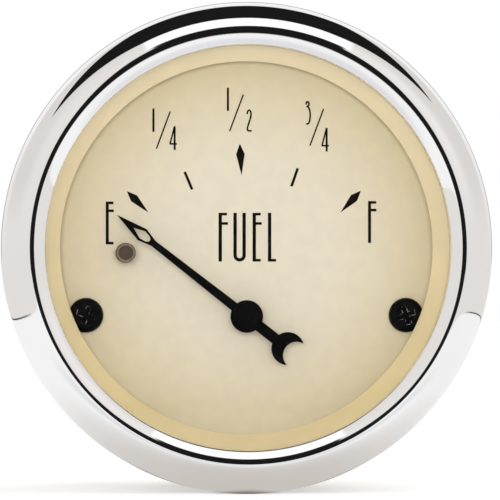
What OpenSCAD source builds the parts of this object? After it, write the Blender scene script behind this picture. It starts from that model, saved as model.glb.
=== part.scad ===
// Panel-mounted electric fuel gauge, drawn as seen from the front:
// X to the right, Y up, Z towards the driver, Z = 0 where the bezel seats on the panel.
// upright() then turns it so that the dial faces -Y and +Z is up.

/* [Bezel] */
// How far the bezel reaches past the barrel
bezel_overhang = 3; // [2.6:0.1:4]
// Height of the bezel's crest above the panel
bezel_h = 6.7; // [6.4:0.1:8]
// Thickness of the bezel's rolled sheet
bezel_wall = 0.6; // [0.4:0.05:0.7]
// Radius that the bezel's front is rolled to
dome_r = 3.5; // [3:0.1:4]
// Width of the bezel's roll, from its crest in to the lip on the glass
roll_w = 1.65; // [1.2:0.05:2.2]

/* [Glass and reflector ring] */
// Thickness of the glass
lens_t = 1.6; // [1.2:0.1:2]
// How far the glass reaches under the bezel's lip
lens_bite = 1.4; // [1:0.1:1.5]
// Thickness of the rubber gasket behind the glass
gasket_t = 0.6; // [0.4:0.1:1]
// Thickness of the reflector ring's flange
ring_flange_t = 2; // [1.5:0.1:2.5]
// Wall thickness of the reflector ring's cone and rim
ring_wall = 0.9; // [0.7:0.1:1.2]
// Depth of the reflector ring's cone below the gasket
ring_cone_h = 2.7; // [2:0.1:3]
// Width of the reflector ring's cone as seen from the front
ring_face_w = 1.8; // [1.4:0.1:2.4]

/* [Dial] */
// Space between the dial plate's edge and the housing
dial_edge_gap = 0.3; // [0.2:0.05:0.8]
// Thickness of the dial plate
dial_t = 0.8; // [0.5:0.1:1.2]
// Gap between the reflector ring's edge and the dial
dial_gap = 1.7; // [1.6:0.1:2.2]
// Distance of the dial screws from the dial plate's edge
dial_screw_inset = 4.45; // [3.2:0.05:6]
// How far the dial screws lie below the gauge's centre
dial_screw_drop = 7.95; // [7:0.05:9]
// Head diameter of a dial screw
dial_screw_head_d = 4.1; // [3.4:0.1:4.4]
// Head height of a dial screw
dial_screw_head_h = 1.3; // [0.9:0.1:1.4]
// Shank diameter of a dial screw
dial_screw_d = 2.2; // [1.8:0.1:2.4]
// Stop pin's distance inwards from the circle of the pointer's tip
stop_inset = 3.35; // [2.8:0.05:3.6]
// Angle from the resting pointer down to the stop pin
stop_angle = 10.3; // [10:0.1:12]
// Outer diameter of the stop pin's sleeve
stop_sleeve_d = 2.34; // [1.8:0.02:2.4]
// Diameter of the stop pin
stop_pin_d = 1.7; // [1.2:0.1:1.7]

/* [Pointer] */
// How far the pointer's pivot lies below the gauge's centre
pivot_drop = 8.1; // [7.8:0.1:8.4]
// Pointer's angle left of straight up when it rests near empty
rest_angle = 52; // [46:1:53]
// Length of the pointer from its pivot to its tip
pointer_l = 19.5; // [18.5:0.1:21]
// Thickness of the pointer's blade
pointer_t = 0.4; // [0.2:0.05:0.6]
// Height of the pointer's blade above the dial
pointer_lift = 2; // [1.6:0.1:2.4]
// Width of the pointer's arm at the hub
arm_root_w = 1.14; // [0.8:0.02:1.5]
// Width of the pointer's arm at the diamond
arm_neck_w = 0.76; // [0.5:0.02:1]
// Length of the pointer's diamond head
diamond_l = 5.5; // [5:0.1:7]
// Width of the pointer's diamond head
diamond_w = 1.66; // [1.4:0.02:1.8]
// Width of metal round the diamond's window
diamond_rim = 0.3; // [0.2:0.02:0.4]
// Diameter of the pointer's disc round the pivot
pointer_disc_d = 3.86; // [3.4:0.02:4.4]
// Diameter of the hub cap on the disc
hub_cap_d = 3.3; // [2.6:0.1:3.4]
// Height of the hub cap
hub_cap_h = 0.55; // [0.4:0.05:0.8]
// Diameter of the spindle
spindle_d = 1; // [0.8:0.05:1.2]
// Distance from the pivot to the centre of the crescent tail
tail_l = 6.16; // [5.5:0.02:6.6]
// Outer radius of the crescent tail
tail_r = 1.95; // [1.5:0.01:2]
// Radius of the bite that opens the crescent
tail_bite_r = 1.61; // [1.3:0.01:1.65]
// Width of the tail's shank
tail_shank_w = 1.3; // [1:0.02:1.5]

/* [Housing] */
// Diameter of the housing's barrel, for a 2 1/16 inch panel hole
barrel_d = 52; // [51.8:0.05:52.4]
// Length of the barrel behind the panel seat
barrel_l = 30; // [29:0.5:36]
// Sheet thickness of the housing
housing_wall = 0.7; // [0.5:0.05:0.8]
// Corner radius at the housing's back edge
housing_corner_r = 1.5; // [1:0.1:2.5]

/* [Movement] */
// Height of the dial pillars
pillar_h = 3; // [2.5:0.1:4]
// Thickness of the frame plate
frame_t = 1.5; // [1:0.1:2]
// Diameter of the steel shield can
can_d = 24.4; // [24:0.2:26]
// Room behind the shield can for the terminals' wiring
back_room = 6.9; // [6:0.1:7.4]
// Sheet thickness of the shield can
can_wall = 0.6; // [0.4:0.05:0.8]
// Diameter of the magnet rotor
rotor_d = 10.8; // [9:0.1:11]
// Thickness of the magnet rotor
rotor_t = 3; // [2:0.1:3.4]
// Space round the rotor in its chamber
rotor_gap = 0.7; // [0.5:0.1:0.9]
// Width of one half of a coil
coil_w = 3; // [2:0.1:3.2]
// Bobbin left outside the corners of the outer coil
coil_edge = 0.32; // [0.2:0.02:0.6]
// Thickness of the brass front bearing's wall
bearing_wall = 0.7; // [0.5:0.05:0.9]

/* [Mounting studs and clamp] */
// Distance of the mounting studs from the barrel's outside
stud_inset = 10; // [9:0.1:10.5]
// Major diameter of the mounting studs and terminals, number 8 thread
stud_d = 4.16; // [3.8:0.02:4.3]
// Length of the mounting studs behind the housing
stud_reach = 22; // [22:0.5:28]
// Width of the clamp's strap
strap_w = 11; // [10:0.5:12.6]
// Thickness of the clamp's strap
strap_t = 1.1; // [1:0.1:2]
// Space between the barrel and the clamp's legs
leg_gap = 0.9; // [0.9:0.1:2]
// Panel thickness that the clamp is set to
panel_t = 3; // [2.5:0.1:3.8]
// Clear space between the housing's back and the clamp's bridge
bridge_gap = 6.5; // [6.2:0.1:7.5]
// Diameter of the knurled thumb nuts
thumb_nut_d = 10; // [9:0.2:11]
// Height of the knurled thumb nuts
thumb_nut_h = 6.2; // [5:0.1:6.4]
// Number of ridges round a thumb nut
knurls = 28; // [20:2:36]

/* [Terminals] */
// Distance from one terminal stud to the next
terminal_pitch = 11; // [10.5:0.1:12]
// Distance of the outer terminals from the barrel's outside
terminal_inset = 7; // [6.6:0.1:7.4]
// Length of the terminal studs behind the housing
terminal_reach = 15; // [14.5:0.5:20]
// Thickness of the insulating terminal board
board_t = 1.6; // [1.2:0.1:2]
// Thickness of a brass contact strip
strip_t = 0.5; // [0.3:0.1:0.8]
// Width across the flats of the hex nuts
nut_af = 8.7; // [7.6:0.1:8.9]
// Thickness of the hex nuts
nut_t = 3; // [2.4:0.1:3.2]
// Thickness of the lock washers
lock_washer_t = 0.8; // [0.5:0.1:1]
// Outer diameter of the insulating bushes' flanges
bush_flange_d = 10; // [9:0.1:10.2]
// Thickness of the insulating bushes' flanges
bush_flange_t = 1; // [0.8:0.1:1.4]
// Diameter of the calibration resistor
resistor_d = 3.4; // [2.4:0.1:3.6]
// Length of the calibration resistor's body
resistor_l = 9; // [7:0.5:12]

/* [Lamp] */
// Distance of the lamp from the barrel's outside
lamp_inset = 11.5; // [11:0.1:12]
// Diameter of the lamp's hole in the housing
lamp_hole_d = 12.4; // [12:0.1:13]
// Diameter of the lamp holder's flange
lamp_flange_d = 15; // [14.4:0.1:15.4]
// Thickness of the lamp holder's flange
lamp_flange_t = 1.4; // [1:0.1:2]
// Length of the lamp holder's grip behind its flange
lamp_grip_l = 7; // [6:0.5:9]
// Depth of the lamp holder's barrel inside the housing
lamp_barrel_l = 6; // [5.5:0.5:8]
// Diameter of the bulb
bulb_d = 10; // [9:0.1:10.4]
// Length of the bulb's glass in front of the holder
bulb_l = 15.5; // [13:0.5:17]
// Width of the lamp holder's push-on tabs
tab_w = 6.3; // [4.8:0.1:6.4]
// Length of the lamp holder's push-on tabs
tab_l = 7; // [6:0.5:9]

/* [Hidden] */

$fn = 96;
fit = 0.05;            // radial clearance of a shaft that turns or slides in its bore
seat = 0.02;           // radial clearance of a piece that is pressed or glued into another
overshoot = 1;         // how far a cutting tool runs past the face that it cuts

// Radii of the front group
barrel_r = barrel_d / 2;
bezel_r = barrel_r + bezel_overhang;
crest_r = bezel_r - dome_r;
sight_r = crest_r - roll_w;
dial_sight_r = sight_r - ring_face_w;
lens_r = sight_r + lens_bite;
housing_r = barrel_r - housing_wall;
crimp_r = barrel_r + bezel_wall + 0.1;  // the lip stops short of the housing's bend
flange_r = bezel_r - bezel_wall - 0.2;

// Heights of the front group above the panel seat
flange_z = bezel_wall;
ring_z = flange_z + housing_wall;
gasket_z = ring_z + ring_flange_t;
lens_z = gasket_z + gasket_t;
glass_z = lens_z + lens_t;
dome_z = bezel_h - dome_r;
lip_z = dome_z + sqrt(dome_r * dome_r - roll_w * roll_w) - bezel_wall / 2;
ring_edge_z = gasket_z - ring_cone_h;
dial_z = ring_edge_z - dial_gap;
dial_back_z = dial_z - dial_t;

// Dial, its screws and the stop pin
dial_r = housing_r - dial_edge_gap;
screw_ring_r = dial_r - dial_screw_inset;
screw_at = [sqrt(screw_ring_r * screw_ring_r - dial_screw_drop * dial_screw_drop), -dial_screw_drop];
stop_l = pointer_l - stop_inset;
stop_at = stop_l * [-sin(rest_angle + stop_angle), cos(rest_angle + stop_angle)] - [0, pivot_drop];
pillar_wall = 1.1;
stop_top = pointer_lift + pointer_t + 0.4;
stop_rivet_d = 2.2;
stop_rivet_h = 0.4;

// Pointer, in its own frame with the tip along +Y from the pivot
pivot_at = [0, -pivot_drop];
blade_z = dial_z + pointer_lift;
cap_z = blade_z + pointer_t;
hub_boss_d = 2.2;
hub_boss_h = 1.4;
cap_dimple_d = 0.7;
cap_dimple_h = 0.2;
diamond_back = 1.65;                     // from the diamond's widest point back to the neck
diamond_y = pointer_l - diamond_l + diamond_back;
window_back = 1.1;                       // from the widest point back to the window's blunt end
window_w = diamond_w - 2 * diamond_rim;
tail_bite_offset = 1.31;                 // from the crescent's centre to the bite's centre

// Levels of the movement, from the dial's back towards the housing's back
frame_z = dial_back_z - pillar_h;
frame_back_z = frame_z - frame_t;
back_z = -barrel_l;
wall_z = back_z + housing_wall;
can_back_z = wall_z + back_room;
can_h = frame_back_z - can_back_z;
can_r = can_d / 2;
can_gap = 0.4;                           // between the can's wall and the bobbin
bobbin_r = can_r - can_wall - can_gap;
bobbin_h = can_h - can_wall - can_gap / 2;
bobbin_back_z = frame_back_z - bobbin_h;
rotor_z = frame_back_z - bobbin_h / 2;   // middle of the rotor
chamber_h = rotor_t + 2 * rotor_gap;
chamber_r = rotor_d / 2 + rotor_gap;
chamber_wall = 0.8;
core_h = chamber_h + 2 * chamber_wall;   // what the inner coil is wound round
core_w = 2 * (chamber_r + chamber_wall);
coil_clear = 0.1;
post_w = 3.4;                            // web between the two halves of a coil
coil_slot_w = post_w + 2 * coil_w + 2 * coil_clear;
coil_reach = sqrt(bobbin_r * bobbin_r - coil_slot_w * coil_slot_w / 4) - coil_edge;
coil_build = (coil_reach - core_w / 2 - coil_clear) / 2;
inner_coil_h = core_h + 2 * coil_build + 2 * coil_clear;
inner_coil_w = core_w + 2 * coil_build + 2 * coil_clear;
nose_r = 3.4;
nose_h = 1.6;
frame_hole_r = nose_r + 0.1;
bearing_r = spindle_d / 2 + fit + bearing_wall;
bearing_h = 4;
cup_h = 1.6;
cup_floor = 0.5;
bearing_bore_r = spindle_d / 2 + fit;
spindle_back_z = bobbin_back_z + cup_floor + 0.05;
movement_screw_d = 2;
movement_screw_edge = 0.3;               // bobbin left outside a movement screw
movement_screw_at = (bobbin_r - movement_screw_edge - movement_screw_d / 2) * [sqrt(0.5), sqrt(0.5)];
movement_screw_head_d = 3.6;
movement_screw_head_h = 1.2;
movement_screw_l = 6;
magnet_size = [3.2, 1.6, 3];
frame_ear_r = 3.4;
stud_ear_r = 4.4;
frame_rim = 0.6;
frame_disc_r = can_r + frame_rim;
frame_bar_w = 6;

// Mounting studs and clamp
stud_r = stud_d / 2;
thread_r = stud_r - 0.3;                 // where stud and fixed nut meet, half way down the thread
stud_at = [barrel_r - stud_inset, 0];
spacer_wall = 1.1;
spacer_r = stud_r + spacer_wall;
washer_rim = 2.4;
washer_r = stud_r + washer_rim;
washer_t = 0.6;
rivet_head_h = 0.8;
rivet_head_r = stud_r + 0.9;
bridge_z = back_z - bridge_gap;
bridge_back_z = bridge_z - strap_t;
leg_x = barrel_r + leg_gap;
bend_r = 2.5;
foot_chamfer = 1.6;
strap_hole_r = stud_r + 0.4;
rib_w = 3;
rib_h = 0.7;
rib_l = 14;
clamp_washer_z = bridge_back_z - lock_washer_t;
thumb_nut_collar_h = 2;
thumb_nut_collar_r = thumb_nut_d / 2 - 1.3;
thumb_nut_bore_r = stud_r + fit;
knurl_depth = 0.35;

// Terminals
terminal_ring_r = barrel_r - terminal_inset;
terminal_drop = sqrt(terminal_ring_r * terminal_ring_r - terminal_pitch * terminal_pitch);
terminal_xs = [-terminal_pitch, 0, terminal_pitch];
ground_x = 0;
board_z = wall_z + board_t;
strip_z = board_z + strip_t;
board_r = 5.2;
board_edge_gap = 0.4;
board_top = 7.1;                         // from the terminals up to the board's top edge
terminal_head_r = 3.4;
terminal_head_h = 1.2;
terminal_hole_r = thread_r + 1.3;
bush_seat_z = back_z - bush_flange_t;
base_nut_z = bush_seat_z - nut_t;
terminal_washer_z = base_nut_z - lock_washer_t;
terminal_nut_z = terminal_washer_z - nut_t;
terminal_end_z = back_z - terminal_reach;
eye_rise = 5.7;                          // from a terminal up to its strip's soldering eyes
lead_x = terminal_pitch / 2;
lead_r = 0.3;
strip_w = 2.4;
resistor_rise = 3.3;                     // from the eyes up to the resistor
resistor_lead_r = 0.35;

// Lamp
lamp_at = [0, barrel_r - lamp_inset];
lamp_barrel_r = lamp_hole_d / 2 - 0.15;
lamp_grip_r = 5.2;
lamp_grip_flat = 3.9;
lamp_front_z = wall_z + lamp_barrel_l;
lamp_flange_z = back_z - lamp_flange_t;
lamp_grip_z = lamp_flange_z - lamp_grip_l;
lamp_finger_gap = 1;
bulb_wall = 0.5;
bulb_r = bulb_d / 2;
wedge_w = 8;
wedge_t = 2.2;
wedge_h = 6;
wedge_clear = 0.1;
tab_t = 0.8;
tab_gap = 4.6;
tab_depth = 3;
tab_hole_r = 0.9;
tab_corner = 1.2;
filament_w = 3.2;
filament_r = 0.25;
filament_rise = 6;

module upright() {
    rotate([90, 0, 0])
        children();
}

// A rod from one height to another, at a place on the dial plan
module rod(r, low, high, at = [0, 0]) {
    translate([at[0], at[1], low])
        cylinder(r = r, h = high - low);
}

module tube(r, bore_r, low, high, at = [0, 0]) {
    difference() {
        rod(r, low, high, at);
        rod(bore_r, low - overshoot, high + overshoot, at);
    }
}

// A block given by its middle on the plan, its plan size and its two heights
module block(size, low, high, at = [0, 0]) {
    translate([at[0] - size[0] / 2, at[1] - size[1] / 2, low])
        cube([size[0], size[1], high - low]);
}

module hex_nut(low, high, at) {
    difference() {
        translate([at[0], at[1], low])
            cylinder(r = nut_af / sqrt(3), h = high - low, $fn = 6);
        rod(thread_r + seat, low - overshoot, high + overshoot, at);
    }
}

// A split spring washer: a ring with one slanting cut
module lock_washer(low, high, at) {
    rim = 1.5;
    slot_w = 0.5;
    slot_tilt = 25;
    difference() {
        tube(stud_r + rim, stud_r + 2 * fit, low, high, at);
        translate([at[0], at[1] + stud_r + rim / 2, (low + high) / 2])
            rotate([0, slot_tilt, 0])
                cube([slot_w, rim + overshoot, 2 * (high - low) + overshoot], center = true);
    }
}

// A bar between two places on the plan
module bar(from, to, w, low, high) {
    run = to - from;
    translate([from[0], from[1], low])
        rotate([0, 0, atan2(run[1], run[0])])
            translate([0, -w / 2, 0])
                cube([norm(run), w, high - low]);
}

// A bar with round ends
module link(from, to, w, low, high) {
    rod(w / 2, low, high, from);
    rod(w / 2, low, high, to);
    bar(from, to, w, low, high);
}

module both_sides() {
    children();
    mirror([1, 0, 0])
        children();
}

// Front group

module bezel_section() {
    // Rear lip, crimped in behind the housing's flange
    translate([crimp_r, 0])
        square([bezel_r - bezel_wall - crimp_r, bezel_wall]);
    intersection() {
        translate([bezel_r - bezel_wall, bezel_wall])
            circle(r = bezel_wall);
        translate([bezel_r - bezel_wall, 0])
            square(bezel_wall);
    }
    // Skirt
    translate([bezel_r - bezel_wall, bezel_wall])
        square([bezel_wall, dome_z - bezel_wall]);
    // Roll from the skirt over the crest
    intersection() {
        difference() {
            translate([crest_r, dome_z])
                circle(r = dome_r);
            translate([crest_r, dome_z])
                circle(r = dome_r - bezel_wall);
        }
        translate([sight_r, dome_z])
            square(roll_w + dome_r + overshoot);
    }
    // Lip turned back against the glass
    translate([sight_r, glass_z])
        square([bezel_wall, lip_z - glass_z]);
}

module bezel() {
    color("gainsboro")
        rotate_extrude()
            bezel_section();
}

module lens() {
    color([0.9, 0.95, 0.95, 0.25])
        rod(lens_r, lens_z, glass_z);
}

module lens_gasket() {
    color("dimgray")
        tube(lens_r, sight_r + 0.2, gasket_z, lens_z);
}

module reflector_ring() {
    slope = ring_face_w / ring_cone_h;
    cone_w = ring_wall * sqrt(1 + slope * slope);
    edge_r = dial_sight_r;
    color("burlywood")
        rotate_extrude()
            polygon([
                [edge_r, ring_edge_z],
                [edge_r + cone_w, ring_edge_z],
                [edge_r + cone_w + slope * (ring_z - ring_edge_z), ring_z],
                [flange_r, ring_z],
                [flange_r, gasket_z],
                [lens_r + 0.2 + ring_wall, gasket_z],
                [lens_r + 0.2 + ring_wall, glass_z - lens_t / 2],
                [lens_r + 0.2, glass_z - lens_t / 2],
                [lens_r + 0.2, gasket_z],
                [sight_r, gasket_z]
            ]);
}

// Dial

module dial() {
    color("wheat")
        difference() {
            rod(dial_r, dial_back_z, dial_z);
            rod(hub_boss_d / 2 + 0.5, dial_back_z - overshoot, dial_z + overshoot, pivot_at);
            rod(stop_pin_d / 2 + seat, dial_back_z - overshoot, dial_z + overshoot, stop_at);
            both_sides()
                rod(dial_screw_d / 2 + 0.15, dial_back_z - overshoot, dial_z + overshoot, screw_at);
        }
}

module dial_screw() {
    head_edge = 0.5;
    crown_h = dial_screw_head_h - head_edge;
    crown_r = dial_screw_head_d / 2;
    recess_w = 0.55;
    recess_l = dial_screw_head_d * 0.54;
    recess_h = 0.8;
    difference() {
        union() {
            rod(dial_screw_d / 2, frame_back_z, dial_z, screw_at);
            // Pan head: a straight edge under a rounded crown
            translate([screw_at[0], screw_at[1], dial_z])
                rotate_extrude() {
                    square([crown_r - crown_h, dial_screw_head_h]);
                    square([crown_r, head_edge]);
                    intersection() {
                        translate([crown_r - crown_h, head_edge])
                            circle(r = crown_h);
                        translate([crown_r - crown_h, head_edge])
                            square(crown_h);
                    }
                }
        }
        // Cross recess
        for (turn = [20, 110])
            translate([screw_at[0], screw_at[1], dial_z + dial_screw_head_h - recess_h])
                rotate([0, 0, turn])
                    translate([-recess_l / 2, -recess_w / 2, 0])
                        cube([recess_l, recess_w, recess_h + overshoot]);
    }
}

module dial_screws() {
    color([0.08, 0.08, 0.08])
        both_sides()
            dial_screw();
}

module dial_pillars() {
    color("goldenrod")
        both_sides()
            tube(dial_screw_d / 2 + pillar_wall, dial_screw_d / 2 + seat, frame_z, dial_back_z, screw_at);
}

module stop_pin() {
    color([0.42, 0.38, 0.34])
        union() {
            rod(stop_pin_d / 2, dial_back_z, dial_z + stop_top - 0.2, stop_at);
            rod(stop_rivet_d / 2, dial_back_z - stop_rivet_h, dial_back_z, stop_at);
        }
}

module stop_sleeve() {
    color([0.36, 0.32, 0.25])
        tube(stop_sleeve_d / 2, stop_pin_d / 2 + seat, dial_z, dial_z + stop_top, stop_at);
}

// Pointer

// Diamond head on its tapered arm, then the tail's shank
module arm_outline() {
    arm_end = diamond_y - diamond_back;
    polygon([
        [0, pointer_l],
        [diamond_w / 2, diamond_y],
        [arm_neck_w / 2, arm_end],
        [arm_root_w / 2, 0],
        [tail_shank_w / 2, 0],
        [tail_shank_w / 2, -tail_l],
        [-tail_shank_w / 2, -tail_l],
        [-tail_shank_w / 2, 0],
        [-arm_root_w / 2, 0],
        [-arm_neck_w / 2, arm_end],
        [-diamond_w / 2, diamond_y]
    ]);
}

module pointer_window() {
    polygon([
        [0, pointer_l - (pointer_l - diamond_y) * 0.66],
        [window_w / 2, diamond_y],
        [window_w * 0.37, diamond_y - window_back * 0.7],
        [window_w * 0.16, diamond_y - window_back],
        [-window_w * 0.16, diamond_y - window_back],
        [-window_w * 0.37, diamond_y - window_back * 0.7],
        [-window_w / 2, diamond_y]
    ]);
}

module pointer() {
    color([0.05, 0.05, 0.06])
        translate([pivot_at[0], pivot_at[1], blade_z])
            rotate([0, 0, rest_angle])
                difference() {
                    union() {
                        linear_extrude(height = pointer_t)
                            arm_outline();
                        rod(pointer_disc_d / 2, 0, pointer_t);
                        // Disc that the bite turns into a crescent
                        rod(tail_r, 0, pointer_t, [0, -tail_l]);
                    }
                    translate([0, 0, -overshoot])
                        linear_extrude(height = pointer_t + 2 * overshoot)
                            pointer_window();
                    rod(tail_bite_r, -overshoot, pointer_t + overshoot, [0, -tail_l - tail_bite_offset]);
                    rod(spindle_d / 2 + seat, -overshoot, pointer_t + overshoot);
                }
}

// Cap above the blade and boss below it, pressed on the spindle
module pointer_hub() {
    color([0.09, 0.09, 0.1])
        union() {
            difference() {
                rod(hub_cap_d / 2, cap_z, cap_z + hub_cap_h, pivot_at);
                rod(cap_dimple_d / 2, cap_z + hub_cap_h - cap_dimple_h, cap_z + hub_cap_h + overshoot, pivot_at);
                rod(spindle_d / 2 + seat, cap_z - overshoot, cap_z + hub_cap_h / 2, pivot_at);
            }
            tube(hub_boss_d / 2, spindle_d / 2 + seat, blade_z - hub_boss_h, blade_z, pivot_at);
        }
}

module spindle() {
    tip_h = 0.6;
    color("silver")
        union() {
            rod(spindle_d / 2, spindle_back_z + tip_h, cap_z + hub_cap_h / 2, pivot_at);
            translate([pivot_at[0], pivot_at[1], spindle_back_z])
                cylinder(r1 = spindle_d / 8, r2 = spindle_d / 2, h = tip_h);
        }
}

module rotor_magnet() {
    color("darkslategray")
        tube(rotor_d / 2, spindle_d / 2 + seat, rotor_z - rotor_t / 2, rotor_z + rotor_t / 2, pivot_at);
}

// Housing

module housing_section() {
    // Barrel, flange and back of one drawn sheet
    translate([housing_r, back_z + housing_corner_r])
        square([housing_wall, flange_z - back_z - housing_corner_r]);
    translate([housing_r, flange_z])
        square([flange_r - housing_r, housing_wall]);
    // Bend under the flange, so that the barrel runs true from the panel seat back
    difference() {
        translate([barrel_r, 0])
            square(bezel_wall);
        translate([barrel_r + bezel_wall, 0])
            circle(r = bezel_wall);
    }
    translate([0, back_z])
        square([barrel_r - housing_corner_r, housing_wall]);
    intersection() {
        difference() {
            translate([barrel_r - housing_corner_r, back_z + housing_corner_r])
                circle(r = housing_corner_r);
            translate([barrel_r - housing_corner_r, back_z + housing_corner_r])
                circle(r = housing_corner_r - housing_wall);
        }
        translate([barrel_r - housing_corner_r, back_z])
            square(housing_corner_r);
    }
}

module housing() {
    low = back_z - overshoot;
    high = wall_z + overshoot;
    color("lightgray")
        difference() {
            rotate_extrude()
                housing_section();
            rod(lamp_hole_d / 2, low, high, lamp_at);
            both_sides()
                rod(thread_r + seat, low, high, stud_at);
            for (x = terminal_xs)
                rod(x == ground_x ? thread_r + seat : terminal_hole_r, low, high, [x, -terminal_drop]);
        }
}

// Movement

module movement_frame() {
    color("silver")
        difference() {
            union() {
                rod(frame_disc_r, frame_back_z, frame_z, pivot_at);
                both_sides() {
                    rod(frame_ear_r, frame_back_z, frame_z, screw_at);
                    bar(pivot_at, screw_at, frame_bar_w, frame_back_z, frame_z);
                    rod(stud_ear_r, frame_back_z, frame_z, stud_at);
                    bar(pivot_at + [frame_bar_w, 0], stud_at, frame_bar_w, frame_back_z, frame_z);
                }
            }
            rod(frame_hole_r, frame_back_z - overshoot, frame_z + overshoot, pivot_at);
            both_sides() {
                rod(dial_screw_d / 2 + seat, frame_back_z - overshoot, frame_z + overshoot, screw_at);
                rod(thread_r + seat, frame_back_z - overshoot, frame_z + overshoot, stud_at);
            }
            for (corner = [-1, 1])
                rod(
                    movement_screw_d / 2 + 0.1, frame_back_z - overshoot, frame_z + overshoot,
                    pivot_at + corner * movement_screw_at
                );
        }
}

module shield_can() {
    color("lightsteelblue")
        difference() {
            rod(can_r, can_back_z, frame_back_z, pivot_at);
            rod(can_r - can_wall, can_back_z + can_wall, frame_back_z + overshoot, pivot_at);
            for (x = [-lead_x, 0, lead_x])
                rod(lead_r + 0.5, can_back_z - overshoot, can_back_z + can_wall + overshoot, [x, eye_rise - terminal_drop]);
        }
}

// Slots that a coil is wound into, for a coil that runs along Y: everything outside its core
module coil_slot(core, across) {
    for (side = [-1, 1])
        difference() {
            block([coil_w + 2 * coil_clear, can_d], bobbin_back_z - overshoot, frame_back_z + overshoot,
                [side * (post_w + coil_w) / 2, 0]);
            block([coil_slot_w, across], rotor_z - core / 2, rotor_z + core / 2);
        }
}

// The two halves of a coil that runs along Y
module coil_pair(core, across) {
    for (side = [-1, 1])
        difference() {
            block([coil_w, across + 2 * coil_build], rotor_z - core / 2 - coil_build, rotor_z + core / 2 + coil_build,
                [side * (post_w + coil_w) / 2, 0]);
            block([coil_w + 2 * overshoot, across + 2 * coil_clear],
                rotor_z - core / 2 - coil_clear / 2, rotor_z + core / 2 + coil_clear / 2,
                [side * (post_w + coil_w) / 2, 0]);
        }
}

module bobbin_body() {
    difference() {
        union() {
            rod(bobbin_r, bobbin_back_z, frame_back_z);
            rod(nose_r, frame_back_z - overshoot, frame_z + nose_h);
        }
        coil_slot(core_h, core_w);
        rotate([0, 0, 90])
            coil_slot(inner_coil_h, inner_coil_w);
        rod(chamber_r, rotor_z - chamber_h / 2, rotor_z + chamber_h / 2);
        rod(bearing_r - bearing_wall + 0.1, bobbin_back_z + cup_h, frame_z + nose_h + overshoot);
        rod(bearing_r + seat, frame_z + nose_h - bearing_h, frame_z + nose_h + overshoot);
        rod(bearing_r + seat, bobbin_back_z - overshoot, bobbin_back_z + cup_h);
        for (corner = [-1, 1])
            rod(
                movement_screw_d / 2 + seat, frame_z - movement_screw_l - overshoot, frame_back_z + overshoot,
                corner * movement_screw_at
            );
        // Pocket for the return magnet
        translate([-movement_screw_at[0], movement_screw_at[1], bobbin_back_z])
            rotate([0, 0, 45])
                block(
                    [magnet_size[0] + 2 * seat, magnet_size[1] + 2 * seat], -overshoot, magnet_size[2]
                );
    }
}

module bobbin_front() {
    color("ivory")
        translate([pivot_at[0], pivot_at[1], 0])
            intersection() {
                bobbin_body();
                rod(can_r, rotor_z, frame_z + nose_h + overshoot);
            }
}

module bobbin_rear() {
    color("linen")
        translate([pivot_at[0], pivot_at[1], 0])
            intersection() {
                bobbin_body();
                rod(can_r, bobbin_back_z - overshoot, rotor_z);
            }
}

module inner_coil() {
    color("peru")
        translate([pivot_at[0], pivot_at[1], 0])
            coil_pair(core_h, core_w);
}

module outer_coil() {
    color("chocolate")
        translate([pivot_at[0], pivot_at[1], 0])
            rotate([0, 0, 90])
                coil_pair(inner_coil_h, inner_coil_w);
}

module front_bearing() {
    color("gold")
        tube(bearing_r, bearing_bore_r, frame_z + nose_h - bearing_h, frame_z + nose_h, pivot_at);
}

module rear_bearing() {
    color("crimson")
        difference() {
            rod(bearing_r, bobbin_back_z, bobbin_back_z + cup_h, pivot_at);
            rod(bearing_bore_r, bobbin_back_z + cup_floor, bobbin_back_z + cup_h + overshoot, pivot_at);
        }
}

module return_magnet() {
    color("dimgray")
        translate([pivot_at[0] - movement_screw_at[0], pivot_at[1] + movement_screw_at[1], bobbin_back_z])
            rotate([0, 0, 45])
                block([magnet_size[0], magnet_size[1]], 0, magnet_size[2]);
}

module movement_screws() {
    color("silver")
        for (corner = [-1, 1])
            difference() {
                union() {
                    rod(
                        movement_screw_d / 2, frame_z - movement_screw_l, frame_z + movement_screw_head_h / 2,
                        pivot_at + corner * movement_screw_at
                    );
                    rod(
                        movement_screw_head_d / 2, frame_z, frame_z + movement_screw_head_h,
                        pivot_at + corner * movement_screw_at
                    );
                }
                block(
                    [movement_screw_head_d + overshoot, 0.5],
                    frame_z + movement_screw_head_h / 2, frame_z + movement_screw_head_h + overshoot,
                    pivot_at + corner * movement_screw_at
                );
            }
}

// Mounting studs, what they carry and the clamp

module mounting_stud() {
    union() {
        // Riveted head in front of the frame
        rod(rivet_head_r, frame_z, frame_z + rivet_head_h, stud_at);
        // Thread inside the spacer, the housing's back and its nut
        rod(thread_r, back_z - washer_t - nut_t, frame_z, stud_at);
        // Free thread that carries the clamp
        rod(stud_r, back_z - stud_reach, back_z - washer_t - nut_t, stud_at);
    }
}

module mounting_studs() {
    color("silver")
        both_sides()
            mounting_stud();
}

module frame_spacers() {
    color("lightgray")
        both_sides()
            tube(spacer_r, thread_r + seat, wall_z, frame_back_z, stud_at);
}

module housing_washers() {
    color("silver")
        both_sides()
            tube(washer_r, thread_r + seat, back_z - washer_t, back_z, stud_at);
}

module housing_nuts() {
    color("silver")
        both_sides()
            hex_nut(back_z - washer_t - nut_t, back_z - washer_t, stud_at);
}

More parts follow.
